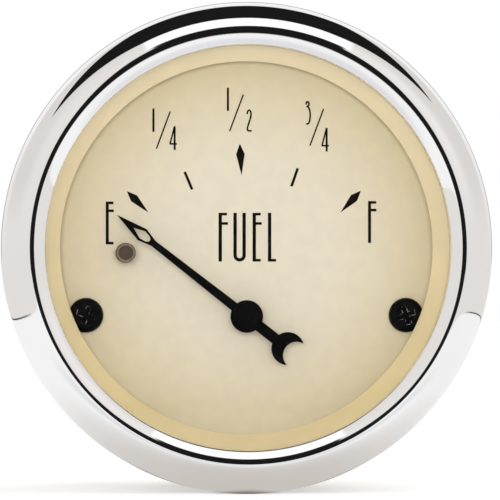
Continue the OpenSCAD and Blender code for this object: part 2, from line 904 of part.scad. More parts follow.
// Outline of the clamp from below: legs that reach the panel, joined by the bridge
module clamp_section() {
    outer_x = leg_x + strap_t;
    difference() {
        union() {
            translate([-outer_x, bridge_back_z + bend_r])
                square([2 * outer_x, -panel_t - bridge_back_z - bend_r]);
            translate([-outer_x + bend_r, bridge_back_z])
                square([2 * (outer_x - bend_r), bend_r + overshoot]);
            for (side = [-1, 1])
                translate([side * (outer_x - bend_r), bridge_back_z + bend_r])
                    circle(r = bend_r);
        }
        translate([-leg_x, bridge_z + bend_r - strap_t])
            square([2 * leg_x, -panel_t - bridge_z]);
        translate([-leg_x + bend_r - strap_t, bridge_z])
            square([2 * (leg_x - bend_r + strap_t), bend_r]);
        for (side = [-1, 1])
            translate([side * (outer_x - bend_r), bridge_back_z + bend_r])
                circle(r = bend_r - strap_t);
    }
}

module clamp_bracket() {
    foot_cut = foot_chamfer * sqrt(2);
    rib_groove_w = rib_w - 2 * rib_h;
    color("silver")
        difference() {
            union() {
                translate([0, strap_w / 2, 0])
                    rotate([90, 0, 0])
                        linear_extrude(height = strap_w)
                            clamp_section();
                // Pressed rib that stiffens the bridge
                link([-rib_l / 2, 0], [rib_l / 2, 0], rib_w, bridge_back_z - rib_h, bridge_back_z);
            }
            link([-rib_l / 2, 0], [rib_l / 2, 0], rib_groove_w, bridge_z - rib_h, bridge_z + overshoot);
            both_sides()
                rod(strap_hole_r, bridge_back_z - overshoot, bridge_z + overshoot, stud_at);
            // Corners cut off the feet
            for (edge = [-1, 1])
                translate([0, edge * strap_w / 2, -panel_t])
                    rotate([45, 0, 0])
                        cube([2 * (leg_x + strap_t) + overshoot, foot_cut, foot_cut], center = true);
        }
}

module clamp_washers() {
    color("silver")
        both_sides()
            lock_washer(clamp_washer_z, bridge_back_z, stud_at);
}

// Ring of ridges round a thumb nut
module knurled_outline() {
    ridge_r = thumb_nut_d / 2;
    step = 360 / knurls;
    polygon([
        for (i = [0 : knurls - 1], part = [0, 0.3, 0.5, 0.8])
            let (r = part < 0.5 ? ridge_r : ridge_r - knurl_depth, turn = (i + part) * step)
                [r * cos(turn), r * sin(turn)]
    ]);
}

module thumb_nut(at) {
    difference() {
        union() {
            rod(thumb_nut_collar_r, clamp_washer_z - thumb_nut_collar_h, clamp_washer_z, at);
            translate([at[0], at[1], clamp_washer_z - thumb_nut_h])
                linear_extrude(height = thumb_nut_h - thumb_nut_collar_h)
                    knurled_outline();
        }
        rod(thumb_nut_bore_r, clamp_washer_z - thumb_nut_h - overshoot, clamp_washer_z + overshoot, at);
    }
}

// Left and right as seen from the front
module left_thumb_nut() {
    color("goldenrod")
        thumb_nut([-stud_at[0], stud_at[1]]);
}

module right_thumb_nut() {
    color("goldenrod")
        thumb_nut(stud_at);
}

// Terminals and wiring

module terminal_board() {
    half = terminal_pitch + board_r;
    color("saddlebrown")
        difference() {
            // Its lower corners follow the housing's wall
            intersection() {
                translate([-half, -terminal_drop - board_r, wall_z])
                    cube([2 * half, board_r + board_top, board_t]);
                rod(housing_r - board_edge_gap, wall_z - overshoot, board_z + overshoot);
            }
            for (x = terminal_xs)
                rod(thread_r + seat, wall_z - overshoot, board_z + overshoot, [x, -terminal_drop]);
        }
}

module terminal_studs() {
    color("gold")
        for (x = terminal_xs)
            union() {
                rod(terminal_head_r, strip_z, strip_z + terminal_head_h, [x, -terminal_drop]);
                rod(thread_r, terminal_nut_z, strip_z, [x, -terminal_drop]);
                rod(stud_r, terminal_end_z, terminal_nut_z, [x, -terminal_drop]);
            }
}

module contact_strip(x) {
    stud = [x, -terminal_drop];
    eye = [x, eye_rise - terminal_drop];
    difference() {
        union() {
            rod(terminal_head_r, board_z, strip_z, stud);
            rod(strip_w / 2, board_z, strip_z, eye);
            block([strip_w, eye_rise], board_z, strip_z, (stud + eye) / 2);
            // Outer strips reach in to where the coil's lead comes down
            if (x != 0) {
                lead = [sign(x) * lead_x, eye[1]];
                rod(strip_w / 2, board_z, strip_z, lead);
                block([abs(x) - lead_x, strip_w], board_z, strip_z, (eye + lead) / 2);
            }
        }
        rod(thread_r + seat, board_z - overshoot, strip_z + overshoot, stud);
    }
}

module contact_strips() {
    color("darkgoldenrod")
        for (x = terminal_xs)
            contact_strip(x);
}

// Wires from the coils to the soldering eyes
module coil_leads() {
    color("firebrick")
        for (x = [-lead_x, 0, lead_x])
            rod(lead_r, strip_z, bobbin_back_z, [x, eye_rise - terminal_drop]);
}

module calibration_resistor() {
    axis_z = strip_z + resistor_lead_r;
    body_y = eye_rise + resistor_rise - terminal_drop;
    color("tan")
        union() {
            translate([-resistor_l / 2, body_y, axis_z])
                rotate([0, 90, 0])
                    cylinder(d = resistor_d, h = resistor_l);
            translate([-terminal_pitch, body_y, axis_z])
                rotate([0, 90, 0])
                    cylinder(r = resistor_lead_r, h = 2 * terminal_pitch);
            both_sides() {
                translate([terminal_pitch, body_y - resistor_rise, axis_z])
                    rotate([-90, 0, 0])
                        cylinder(r = resistor_lead_r, h = resistor_rise);
                translate([terminal_pitch, body_y, axis_z])
                    sphere(r = resistor_lead_r);
            }
        }
}

module insulating_bushes() {
    color("saddlebrown")
        for (x = [-terminal_pitch, terminal_pitch])
            difference() {
                union() {
                    rod(bush_flange_d / 2, bush_seat_z, back_z, [x, -terminal_drop]);
                    rod(terminal_hole_r - seat, bush_seat_z, wall_z, [x, -terminal_drop]);
                }
                rod(thread_r + seat, bush_seat_z - overshoot, wall_z + overshoot, [x, -terminal_drop]);
            }
}

// Toothed washer that earths the middle terminal on the housing
module ground_washer() {
    teeth = 12;
    notch_w = 0.7;
    notch_depth = 0.8;
    color("silver")
        difference() {
            rod(washer_r, bush_seat_z, back_z, [ground_x, -terminal_drop]);
            rod(thread_r + seat, bush_seat_z - overshoot, back_z + overshoot, [ground_x, -terminal_drop]);
            for (i = [0 : teeth - 1])
                translate([ground_x, -terminal_drop, bush_seat_z - overshoot])
                    rotate([0, 0, i * 360 / teeth])
                        translate([washer_r - notch_depth, -notch_w / 2, 0])
                            cube([notch_depth + overshoot, notch_w, bush_flange_t + 2 * overshoot]);
        }
}

module terminal_base_nuts() {
    color("goldenrod")
        for (x = terminal_xs)
            hex_nut(base_nut_z, bush_seat_z, [x, -terminal_drop]);
}

module terminal_lock_washers() {
    color("silver")
        for (x = terminal_xs)
            lock_washer(terminal_washer_z, base_nut_z, [x, -terminal_drop]);
}

module terminal_nuts() {
    color("goldenrod")
        for (x = terminal_xs)
            hex_nut(terminal_nut_z, terminal_washer_z, [x, -terminal_drop]);
}

// Lamp

module lamp_holder() {
    color([0.15, 0.15, 0.15])
        difference() {
            union() {
                rod(lamp_barrel_r, back_z, lamp_front_z, lamp_at);
                rod(lamp_flange_d / 2, lamp_flange_z, back_z, lamp_at);
                intersection() {
                    rod(lamp_grip_r, lamp_grip_z, lamp_flange_z, lamp_at);
                    block([2 * lamp_grip_flat, 2 * lamp_grip_r], lamp_grip_z, lamp_flange_z, lamp_at);
                }
            }
            block([wedge_w + 2 * wedge_clear, wedge_t + 2 * wedge_clear],
                lamp_front_z - wedge_h, lamp_front_z + overshoot, lamp_at);
            // Slits that let the barrel's fingers spring
            block([2 * lamp_barrel_r + overshoot, lamp_finger_gap],
                lamp_front_z - wedge_h + overshoot, lamp_front_z + overshoot, lamp_at);
            for (side = [-1, 1])
                block([tab_w + 2 * seat, tab_t + 2 * seat], lamp_grip_z - overshoot, lamp_grip_z + tab_depth,
                    lamp_at + [0, side * tab_gap / 2]);
        }
}

module lamp_tabs() {
    color("gold")
        for (side = [-1, 1])
            difference() {
                block([tab_w, tab_t], lamp_grip_z - tab_l, lamp_grip_z + tab_depth, lamp_at + [0, side * tab_gap / 2]);
                translate([lamp_at[0], lamp_at[1] + side * tab_gap / 2, lamp_grip_z - tab_l / 2])
                    rotate([90, 0, 0])
                        cylinder(r = tab_hole_r, h = 2 * tab_t, center = true);
                // Lead-in corners
                for (edge = [-1, 1])
                    translate([
                        lamp_at[0] + edge * tab_w / 2, lamp_at[1] + side * tab_gap / 2, lamp_grip_z - tab_l
                    ])
                        rotate([0, 45, 0])
                            cube([tab_corner, 2 * tab_t, tab_corner], center = true);
            }
}

module lamp_bulb() {
    neck_z = lamp_front_z + bulb_r;
    dome_top = lamp_front_z + bulb_l;
    color([0.95, 0.95, 0.9, 0.4])
        translate([lamp_at[0], lamp_at[1], 0])
            difference() {
                union() {
                    translate([0, 0, dome_top - bulb_r])
                        sphere(r = bulb_r);
                    rod(bulb_r, neck_z, dome_top - bulb_r);
                    translate([0, 0, lamp_front_z])
                        cylinder(r1 = wedge_w / 2, r2 = bulb_r, h = bulb_r);
                    block([wedge_w, wedge_t], lamp_front_z - wedge_h + wedge_clear, lamp_front_z);
                }
                translate([0, 0, dome_top - bulb_r])
                    sphere(r = bulb_r - bulb_wall);
                rod(bulb_r - bulb_wall, neck_z, dome_top - bulb_r);
            }
}

module lamp_filament() {
    coil_z = lamp_front_z + bulb_r + filament_rise;
    color("silver")
        translate([lamp_at[0], lamp_at[1], 0]) {
            translate([-filament_w / 2, 0, coil_z])
                rotate([0, 90, 0])
                    cylinder(r = filament_r, h = filament_w);
            for (side = [-1, 1])
                rod(filament_r, lamp_front_z + bulb_r, coil_z + filament_r, [side * filament_w / 2, 0]);
        }
}

upright() bezel();
upright() lens();
upright() lens_gasket();
upright() reflector_ring();
upright() dial();
upright() dial_screws();
upright() dial_pillars();
upright() stop_pin();
upright() stop_sleeve();
upright() pointer();
upright() pointer_hub();
upright() spindle();
upright() rotor_magnet();
upright() housing();
upright() movement_frame();
upright() shield_can();
upright() bobbin_front();
upright() bobbin_rear();
upright() inner_coil();
upright() outer_coil();
upright() front_bearing();
upright() rear_bearing();
upright() return_magnet();
upright() movement_screws();
upright() mounting_studs();
upright() frame_spacers();
upright() housing_washers();
upright() housing_nuts();
upright() clamp_bracket();
upright() clamp_washers();
upright() left_thumb_nut();
upright() right_thumb_nut();
upright() terminal_board();
upright() terminal_studs();
upright() contact_strips();
upright() coil_leads();
upright() calibration_resistor();
upright() insulating_bushes();
upright() ground_washer();
upright() terminal_base_nuts();
upright() terminal_lock_washers();
upright() terminal_nuts();
upright() lamp_holder();
upright() lamp_tabs();
upright() lamp_bulb();
upright() lamp_filament();
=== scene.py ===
"""Dressed model of a panel fuel gauge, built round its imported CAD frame.

Places are given as seen from the front, in millimetres: across to the right, up, and out
towards the driver, with out = 0 where the bezel seats on the panel. spot() turns them into
metres in the row frame, where the dial faces -Y and +Z is up.
"""

import logging
import math
from collections.abc import Callable, Mapping, Sequence
from dataclasses import dataclass, field, replace
from enum import Enum

import bmesh
import bpy
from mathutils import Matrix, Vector


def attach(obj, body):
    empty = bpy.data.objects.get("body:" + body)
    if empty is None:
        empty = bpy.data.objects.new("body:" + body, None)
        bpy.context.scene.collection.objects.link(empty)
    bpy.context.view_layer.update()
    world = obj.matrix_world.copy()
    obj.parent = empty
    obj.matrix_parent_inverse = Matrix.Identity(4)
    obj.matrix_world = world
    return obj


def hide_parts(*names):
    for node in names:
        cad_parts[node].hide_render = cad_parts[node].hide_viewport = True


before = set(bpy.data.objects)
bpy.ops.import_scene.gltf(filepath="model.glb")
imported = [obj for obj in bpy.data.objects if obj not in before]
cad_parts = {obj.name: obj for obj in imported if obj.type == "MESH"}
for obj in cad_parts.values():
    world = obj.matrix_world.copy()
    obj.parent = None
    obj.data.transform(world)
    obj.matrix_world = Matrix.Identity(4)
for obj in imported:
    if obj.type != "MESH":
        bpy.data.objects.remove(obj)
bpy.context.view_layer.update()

LOG = logging.getLogger("fuel_gauge")
MM = 0.001

Colour = tuple[float, float, float, float]
Place = tuple[float, float]
Span = tuple[float, float]
Tree = bpy.types.NodeTree
Material = bpy.types.Material
Socket = bpy.types.NodeSocket
Sockets = Mapping[str, Socket]
Feed = Socket | float | Sequence[float]
Made = dict[str, Socket]

PIVOT: Place = (0.0, -8.1)
PEG: Place = (-14.3, -0.59)
STUD_X = 16.0


# ---- measures and colours


def spot(across: float, up: float, out: float = 0.0) -> Vector:
    """A place seen from the front, in millimetres, as a point of the row frame in metres."""
    return Vector((across, -out, up)) * MM


def linear(level: int) -> float:
    """One channel of a picture, from 0 to 255, as the linear value that shaders use."""
    share = level / 255
    return share / 12.92 if share <= 0.04045 else ((share + 0.055) / 1.055) ** 2.4


def srgb(red: int, green: int, blue: int) -> Colour:
    """A colour as a picture shows it, each channel from 0 to 255, in linear values."""
    return (linear(red), linear(green), linear(blue), 1.0)


def grey(light: float) -> Colour:
    """A neutral colour of that linear lightness."""
    return (light, light, light, 1.0)


def arc(centre: Place, radius: float, start: float, end: float, steps: int) -> list[Place]:
    """Points along an arc, its angles in degrees counted from the first axis to the second."""
    turns = [math.radians(start + (end - start) * i / steps) for i in range(steps + 1)]
    return [(centre[0] + radius * math.cos(a), centre[1] + radius * math.sin(a)) for a in turns]


def polar(centre: Place, radius: float, clock: float) -> Place:
    """The place at that radius, its angle in degrees clockwise from straight up."""
    turn = math.radians(clock)
    return (centre[0] + radius * math.sin(turn), centre[1] + radius * math.cos(turn))


def circle(centre: Place, radius: float, out: float, steps: int) -> list[Vector]:
    """Points round an axis that runs front to back, clockwise from straight up."""
    return [spot(*polar(centre, radius, 360 * k / steps), out) for k in range(steps)]


# ---- meshes

MERGE_WITHIN = 1e-8
LEAST_MITRE = 0.5


@dataclass
class Shape:
    """Points and faces gathered for one piece, in row metres."""

    points: list[Vector] = field(default_factory=list)
    faces: list[tuple[int, ...]] = field(default_factory=list)

    def skin(self, rings: Sequence[Sequence[Vector]], closed: bool = False, joined: bool = True) -> None:
        """Covers rings of equal length with quads.

        Args:
            rings: The rings in order.
            closed: Whether the last ring joins the first again.
            joined: Whether each ring's last point joins its first.
        """
        start, size = len(self.points), len(rings[0])
        for ring in rings:
            self.points.extend(ring)
        for j in range(len(rings) if closed else len(rings) - 1):
            low, high = start + j * size, start + (j + 1) % len(rings) * size
            for k in range(size if joined else size - 1):
                after = (k + 1) % size
                self.faces.append((low + k, low + after, high + after, high + k))

    def disc(self, ring: Sequence[Vector], order: int = 1) -> None:
        """Closes a ring with one flat face.

        Args:
            ring: Its points, which build() merges with the same points of other faces.
            order: 1 to take them as they come, -1 the other way round.
        """
        start = len(self.points)
        self.points.extend(ring)
        self.faces.append(tuple(range(start, start + len(ring)))[::order])

    def loft(self, rings: Sequence[Sequence[Vector]]) -> None:
        """Covers rings with quads and closes the first and the last.

        Args:
            rings: The rings in order.
        """
        self.skin(rings)
        self.disc(rings[0], -1)
        self.disc(rings[-1])

    def lathe(self, outline: Sequence[Place], steps: int) -> None:
        """Turns a closed outline of (radius, out) about the gauge's axis."""
        self.skin([circle((0.0, 0.0), radius, out, steps) for radius, out in outline], closed=True)

    def turned(self, outline: Sequence[Place], centre: Place, steps: int = 48) -> None:
        """Turns an open outline of (radius, out) about centre and closes its two ends."""
        self.loft([circle(centre, radius, out, steps) for radius, out in outline])

    def slab(self, outline: Sequence[Place], low: float, high: float) -> None:
        """A flat piece with that outline between two heights."""
        self.loft([[spot(across, up, out) for across, up in outline] for out in (low, high)])

    def stroke(self, path: Sequence[Place], width: float, low: float, high: float) -> None:
        """A line drawn along a path, with mitred turns and square ends.

        Args:
            path: The middle of the line.
            width: Its width.
            low: The height of its underside.
            high: The height of its face.
        """
        rings = []
        for i, (across, up) in enumerate(path):
            before, after = path[max(i - 1, 0)], path[min(i + 1, len(path) - 1)]
            first = Vector((across - before[0], up - before[1]))
            second = Vector((after[0] - across, after[1] - up))
            first = (first if first.length > 0 else second).normalized()
            second = (second if second.length > 0 else first).normalized()
            along = (first + second).normalized()
            side = Vector((-along.y, along.x)) * (width / 2 / max(along.dot(first), LEAST_MITRE))
            left, right = (across + side.x, up + side.y), (across - side.x, up - side.y)
            rings.append([spot(*left, high), spot(*right, high), spot(*right, low), spot(*left, low)])
        self.loft(rings)

    def build(self, name: str, body: str, slot: str, sharp: float = 35.0) -> bpy.types.Object:
        """Makes the gathered points and faces into a piece of the model.

        Args:
            name: The piece's name.
            body: The CAD body that it rides on.
            slot: The record's material slot for the piece; not used.
            sharp: Edges that turn by more degrees than this are shaded sharp.

        Returns:
            The new object, smooth between its sharp edges.
        """
        mesh = bpy.data.meshes.new(name)
        mesh.from_pydata([tuple(point) for point in self.points], [], self.faces)
        work = bmesh.new()
        work.from_mesh(mesh)
        bmesh.ops.remove_doubles(work, verts=work.verts, dist=MERGE_WITHIN)
        bmesh.ops.recalc_face_normals(work, faces=work.faces)
        work.to_mesh(mesh)
        work.free()
        mesh.shade_smooth()
        mesh.set_sharp_from_angle(angle=math.radians(sharp))
        piece = bpy.data.objects.new(name, mesh)
        bpy.context.scene.collection.objects.link(piece)
        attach(piece, body)
        LOG.info("built %s with %d faces on %s", name, len(mesh.polygons), body)
        return piece


@dataclass
class Print(Shape):
    """Marks of ink that stand on a flat face between two heights."""

    low: float = 0.0
    high: float = 0.0

    def fill(self, *outline: Place) -> None:
        """Prints a filled outline."""
        self.slab(outline, self.low, self.high)

    def bar(self, left: float, low: float, right: float, high: float) -> None:
        """Prints a rectangle between two corners."""
        self.fill((left, low), (right, low), (right, high), (left, high))

    def line(self, width: float, *path: Place) -> None:
        """Prints a line of that width along a path."""
        self.stroke(path, width, self.low, self.high)

    def diamond(self, outer: Place, inner: Place, half: float, share: float = 0.33) -> None:
        """Prints a slim diamond.

        Args:
            outer: The tip away from the pivot.
            inner: The tip towards the pivot.
            half: Half its width.
            share: How far along from the outer tip it is widest.
        """
        along = Vector((inner[0] - outer[0], inner[1] - outer[1]))
        side = Vector((-along.y, along.x)).normalized() * half
        middle = Vector(outer) + along * share
        self.fill(outer, tuple(middle - side), inner, tuple(middle + side))


# ---- node trees

NOISE_SPAN: Span = (0.3, 0.7)


class Graph:
    """A node tree with short ways to add its nodes and join them."""

    def __init__(self, tree: Tree) -> None:
        """Takes over a tree and empties it."""
        self.tree = tree
        tree.nodes.clear()

    def feed(self, socket: Socket, value: Feed) -> None:
        """Joins a socket to another, or sets it to a plain value.

        Args:
            socket: The input.
            value: What it takes.
        """
        if isinstance(value, Socket):
            self.tree.links.new(value, socket)
        else:
            socket.default_value = value

    def add(
        self, kind: str, feeds: Mapping[str | int, Feed] | None = None, **settings: object
    ) -> bpy.types.Node:
        """Adds a node.

        Args:
            kind: Its type.
            feeds: What its inputs take, by their name or number.
            settings: Its own settings.

        Returns:
            The new node.
        """
        node = self.tree.nodes.new(kind)
        for name, value in settings.items():
            setattr(node, name, value)
        for key, value in (feeds or {}).items():
            self.feed(node.inputs[key], value)
        return node

    def math(self, operation: str, *values: Feed, clamp: bool = False) -> Socket:
        """Puts values through a Math node."""
        node = self.add("ShaderNodeMath", dict(enumerate(values)), operation=operation, use_clamp=clamp)
        return node.outputs[0]

    def plus(self, first: Feed, second: Feed) -> Socket:
        """The sum of two values."""
        return self.math("ADD", first, second)

    def minus(self, first: Feed, second: Feed) -> Socket:
        """The difference of two values."""
        return self.math("SUBTRACT", first, second)

    def times(self, first: Feed, second: Feed) -> Socket:
        """The product of two values."""
        return self.math("MULTIPLY", first, second)

    def larger(self, first: Feed, second: Feed) -> Socket:
        """The larger of two values."""
        return self.math("MAXIMUM", first, second)

    def unsigned(self, value: Feed) -> Socket:
        """A value without its sign."""
        return self.math("ABSOLUTE", value)

    def length(self, first: Feed, second: Feed) -> Socket:
        """The length of a line from its two legs."""
        return self.math("SQRT", self.plus(self.times(first, first), self.times(second, second)))

    def span(self, value: Feed, low: Feed, high: Feed, start: Feed = 0.0, end: Feed = 1.0) -> Socket:
        """Maps a value smoothly from low..high to start..end."""
        feeds = dict(enumerate((value, low, high, start, end)))
        return self.add("ShaderNodeMapRange", feeds, interpolation_type="SMOOTHSTEP").outputs[0]

    def under(self, value: Feed, edge: Feed, soft: float) -> Socket:
        """A mask that is 1 where a value lies under an edge, soft by so much on each side."""
        return self.span(self.minus(edge, value), -soft, soft)

    def window(self, value: Feed, low: Feed, high: Feed, soft: float) -> Socket:
        """A mask that is 1 where a value lies between two edges, soft by so much."""
        return self.times(self.under(low, value, soft), self.under(value, high, soft))

    def blend(self, share: Feed, first: Feed, second: Feed) -> Socket:
        """Mixes two colours by a share."""
        return self.add("ShaderNodeMix", {0: share, 6: first, 7: second}, data_type="RGBA").outputs[2]

    def mixed(self, share: Feed, first: Feed, second: Feed) -> Socket:
        """Mixes two shaders by a share."""
        return self.add("ShaderNodeMixShader", {0: share, 1: first, 2: second}).outputs[0]

    def vectors(self, operation: str, *values: Feed) -> Sockets:
        """Puts vectors through a Vector Math node."""
        return self.add("ShaderNodeVectorMath", dict(enumerate(values)), operation=operation).outputs

    def scaled(self, vector: Feed, factor: Feed) -> Socket:
        """A vector or a colour times a factor."""
        feeds = {0: vector if isinstance(vector, Socket) else vector[:3], "Scale": factor}
        return self.add("ShaderNodeVectorMath", feeds, operation="SCALE").outputs[0]

    def parts(self, vector: Feed) -> Sequence[Socket]:
        """The three parts of a vector."""
        return self.add("ShaderNodeSeparateXYZ", {0: vector}).outputs

    def joined(self, first: Feed, second: Feed, third: Feed) -> Socket:
        """A vector from its three parts."""
        return self.add("ShaderNodeCombineXYZ", {0: first, 1: second, 2: third}).outputs[0]

    def place(self) -> Socket:
        """Where a surface point is, in its object's own metres."""
        return self.add("ShaderNodeTexCoord").outputs["Object"]

    def in_mm(self, where: Feed) -> Sequence[Socket]:
        """The three parts of a place, in millimetres."""
        return self.parts(self.scaled(where, 1 / MM))

    def per_metre(self, size: Feed) -> Socket:
        """How many times a texture of that size in millimetres goes into a metre."""
        return self.math("DIVIDE", 1 / MM, size)

    def noise(self, where: Feed, scale: Feed, detail: float = 3.0) -> Socket:
        """Smooth noise from 0 to 1 at that scale."""
        feeds = {"Vector": where, "Scale": scale, "Detail": detail}
        return self.add("ShaderNodeTexNoise", feeds).outputs[0]

    def spread(self, noise: Socket) -> Socket:
        """Noise, which keeps near its middle, spread over the whole of 0 to 1."""
        return self.span(noise, *NOISE_SPAN)

    def rays(self) -> Sockets:
        """What kind of ray meets the surface."""
        return self.add("ShaderNodeLightPath").outputs

    def seen(self, rays: Sockets) -> Socket:
        """A mask of the camera's rays, straight or through glass."""
        return self.larger(rays["Is Camera Ray"], rays["Is Transmission Ray"])

    def show(self, shader: Socket, kind: str = "ShaderNodeOutputMaterial") -> None:
        """Leads a shader to the tree's output."""
        self.add(kind, {"Surface": shader})


def new_material(name: str) -> tuple[Material, Graph]:
    """Makes an empty material.

    Args:
        name: Its name.

    Returns:
        The material and its graph.
    """
    material = bpy.data.materials.new(name)
    material.use_nodes = True
    return material, Graph(material.node_tree)


class Effect(Enum):
    """The surface effects that several materials share."""

    FINE_GRAIN = "fine_grain"
    LATHE_LINES = "lathe_lines"
    STRETCHED_LINES = "stretched_lines"
    PLATING_MOTTLE = "plating_mottle"
    EDGE_WEAR_AND_LIGHT = "edge_wear_and_light"
    DUST = "dust"


class EffectShop:
    """Builds each shared effect's node group once and places it in materials.

    A ..._BROAD is how often broad patches come for each fine one.
    """

    GRAIN_BROAD, FINE_SHARE, BROAD_SHARE = 0.11, 0.7, 0.3
    LATHE_BROAD, LATHE_WANDER, BROAD_WANDER = 0.1, 0.0004, 3.0
    LINES_BROAD = 0.12
    MOTTLE_BEND, MOTTLE_FINE, MOTTLE_SPAN = 2.0, 9.0, (0.0, 0.9)
    WEAR_BEND, WEAR_SOFT = (0.02, 0.16), 0.25
    DUST_PER_MM, DUST_PATCHES, DUST_RISE, DUST_LEVELS = 0.35, (0.3, 0.75), (-0.2, 0.9), (0.25, 1.0)

    def __init__(self) -> None:
        """Names each effect's maker and its inputs after the vector, with their usual values."""
        self.made: dict[Effect, Tree] = {}
        self.makers: dict[Effect, tuple[Callable[[Graph, Sockets], Made], dict[str, float]]] = {
            Effect.FINE_GRAIN: (self.fine_grain, {"Size": 0.2}),
            Effect.LATHE_LINES: (self.lathe_lines, {"Across": 0.0, "Up": 0.0, "Pitch": 0.12}),
            Effect.STRETCHED_LINES: (
                self.stretched_lines, {"Pitch": 0.15, "Along X": 1.0, "Along Y": 1.0, "Along Z": 0.05}
            ),
            Effect.PLATING_MOTTLE: (self.plating_mottle, {"Size": 1.5}),
            Effect.EDGE_WEAR_AND_LIGHT: (self.edge_wear_and_light, {"Radius": 0.0003, "Breakup": 0.5, "Scarce": 0.35}),
            Effect.DUST: (self.dust, {"Amount": 0.1}),
        }

    def make(self, effect: Effect) -> Tree:
        """Makes an effect's node group with named sockets.

        Args:
            effect: The effect.

        Returns:
            The new group.
        """
        maker, usual = self.makers[effect]
        tree = bpy.data.node_groups.new(effect.value, "ShaderNodeTree")
        tree.interface.new_socket("Vector", in_out="INPUT", socket_type="NodeSocketVector")
        for title, value in usual.items():
            socket = tree.interface.new_socket(title, in_out="INPUT", socket_type="NodeSocketFloat")
            socket.default_value = value
        graph = Graph(tree)
        made = maker(graph, graph.add("NodeGroupInput").outputs)
        for title in made:
            tree.interface.new_socket(title, in_out="OUTPUT", socket_type="NodeSocketFloat")
        graph.add("NodeGroupOutput", made)
        return tree

    def lay(self, graph: Graph, effect: Effect, where: Feed, **values: Feed) -> Sockets:
        """Places an effect in a material, its group made on its first use.

        Args:
            graph: The material's graph.
            effect: The effect.
            where: The vector that places it.
            values: Its other inputs, spaces written as underscores.

        Returns:
            What the effect gives.
        """
        if effect not in self.made:
            self.made[effect] = self.make(effect)
        feeds = {"Vector": where} | {name.replace("_", " "): value for name, value in values.items()}
        return graph.add("ShaderNodeGroup", feeds, node_tree=self.made[effect]).outputs

    def fine_grain(self, graph: Graph, takes: Sockets) -> Made:
        """Grain in two sizes: a fine one for relief and a broad one for shade.

        Args:
            graph: The group's graph.
            takes: Its inputs.

        Returns:
            Its Height and its Shade.
        """
        scale = graph.per_metre(takes["Size"])
        fine = graph.noise(takes["Vector"], scale, detail=4.0)
        broad = graph.noise(takes["Vector"], graph.times(scale, self.GRAIN_BROAD), detail=2.0)
        height = graph.plus(graph.times(fine, self.FINE_SHARE), graph.times(broad, self.BROAD_SHARE))
        return {"Height": height, "Shade": graph.spread(broad)}

    def lathe_lines(self, graph: Graph, takes: Sockets) -> Made:
        """Fine rings round an axis that runs front to back, as a turning tool leaves them.

        Args:
            graph: The group's graph.
            takes: Its inputs.

        Returns:
            Its Height and its Shade.
        """
        across, out, up = graph.parts(takes["Vector"])
        side, rise = graph.minus(across, takes["Across"]), graph.minus(up, takes["Up"])
        radius = graph.length(side, rise)
        scale = graph.per_metre(takes["Pitch"])
        turn = graph.times(graph.math("ARCTAN2", side, rise), self.LATHE_WANDER)
        lines = graph.noise(graph.joined(radius, out, turn), scale, detail=2.0)
        broad = graph.joined(radius, out, graph.times(turn, self.BROAD_WANDER))
        broad = graph.noise(broad, graph.times(scale, self.LATHE_BROAD), detail=1.0)
        return {"Height": lines, "Shade": graph.spread(broad)}

    def stretched_lines(self, graph: Graph, takes: Sockets) -> Made:
        """Lines drawn out along one direction, as rolling, drawing or winding leaves them.

        Args:
            graph: The group's graph.
            takes: Its inputs.

        Returns:
            Its Height and its Shade.
        """
        stretch = graph.joined(takes["Along X"], takes["Along Y"], takes["Along Z"])
        drawn = graph.vectors("MULTIPLY", takes["Vector"], stretch)[0]
        scale = graph.per_metre(takes["Pitch"])
        broad = graph.noise(drawn, graph.times(scale, self.LINES_BROAD), detail=2.0)
        return {"Height": graph.noise(drawn, scale), "Shade": graph.spread(broad)}

    def plating_mottle(self, graph: Graph, takes: Sockets) -> Made:
        """The faint patches of a zinc or tin coat.

        Args:
            graph: The group's graph.
            takes: Its inputs.

        Returns:
            Its Height and its Shade.
        """
        scale = graph.per_metre(takes["Size"])
        bend = graph.noise(takes["Vector"], graph.times(scale, self.MOTTLE_BEND), detail=2.0)
        bend = graph.joined(bend, bend, bend)
        bent = graph.vectors("MULTIPLY_ADD", bend, (MM, MM, MM), takes["Vector"])[0]
        cells = graph.add("ShaderNodeTexVoronoi", {"Vector": bent, "Scale": scale}, feature="SMOOTH_F1")
        fine = graph.noise(takes["Vector"], graph.times(scale, self.MOTTLE_FINE))
        return {"Height": fine, "Shade": graph.span(cells.outputs["Distance"], *self.MOTTLE_SPAN)}

    def edge_wear_and_light(self, graph: Graph, takes: Sockets) -> Made:
        """A mask of the outer edges, broken up, where a coat rubs off on most finishes
        and where painted light and painted glints go on a few.

        Args:
            graph: The group's graph.
            takes: Its inputs.

        Returns:
            Its Mask.
        """
        rounded = graph.add("ShaderNodeBevel", {"Radius": takes["Radius"]}, samples=4).outputs[0]
        plain = graph.add("ShaderNodeNewGeometry").outputs["Normal"]
        level = graph.vectors("DOT_PRODUCT", rounded, plain)["Value"]
        bent = graph.span(graph.minus(1.0, level), *self.WEAR_BEND)
        patches = graph.noise(takes["Vector"], graph.per_metre(takes["Breakup"]))
        broken_up = graph.math("DIVIDE", graph.minus(patches, takes["Scarce"]), self.WEAR_SOFT, clamp=True)
        return {"Mask": graph.times(bent, broken_up)}

    def dust(self, graph: Graph, takes: Sockets) -> Made:
        """A thin settling of dust on faces that look up, heavier in patches.

        Args:
            graph: The group's graph.
            takes: Its inputs.

        Returns:
            Its Mask.
        """
        rise = graph.parts(graph.add("ShaderNodeNewGeometry").outputs["Normal"])[2]
        patches = graph.span(
            graph.noise(takes["Vector"], self.DUST_PER_MM / MM, detail=4.0), *self.DUST_PATCHES
        )
        settled = graph.times(graph.span(rise, *self.DUST_RISE, *self.DUST_LEVELS), patches)
        return {"Mask": graph.times(settled, takes["Amount"])}


EFFECTS = EffectShop()


# ---- finishes

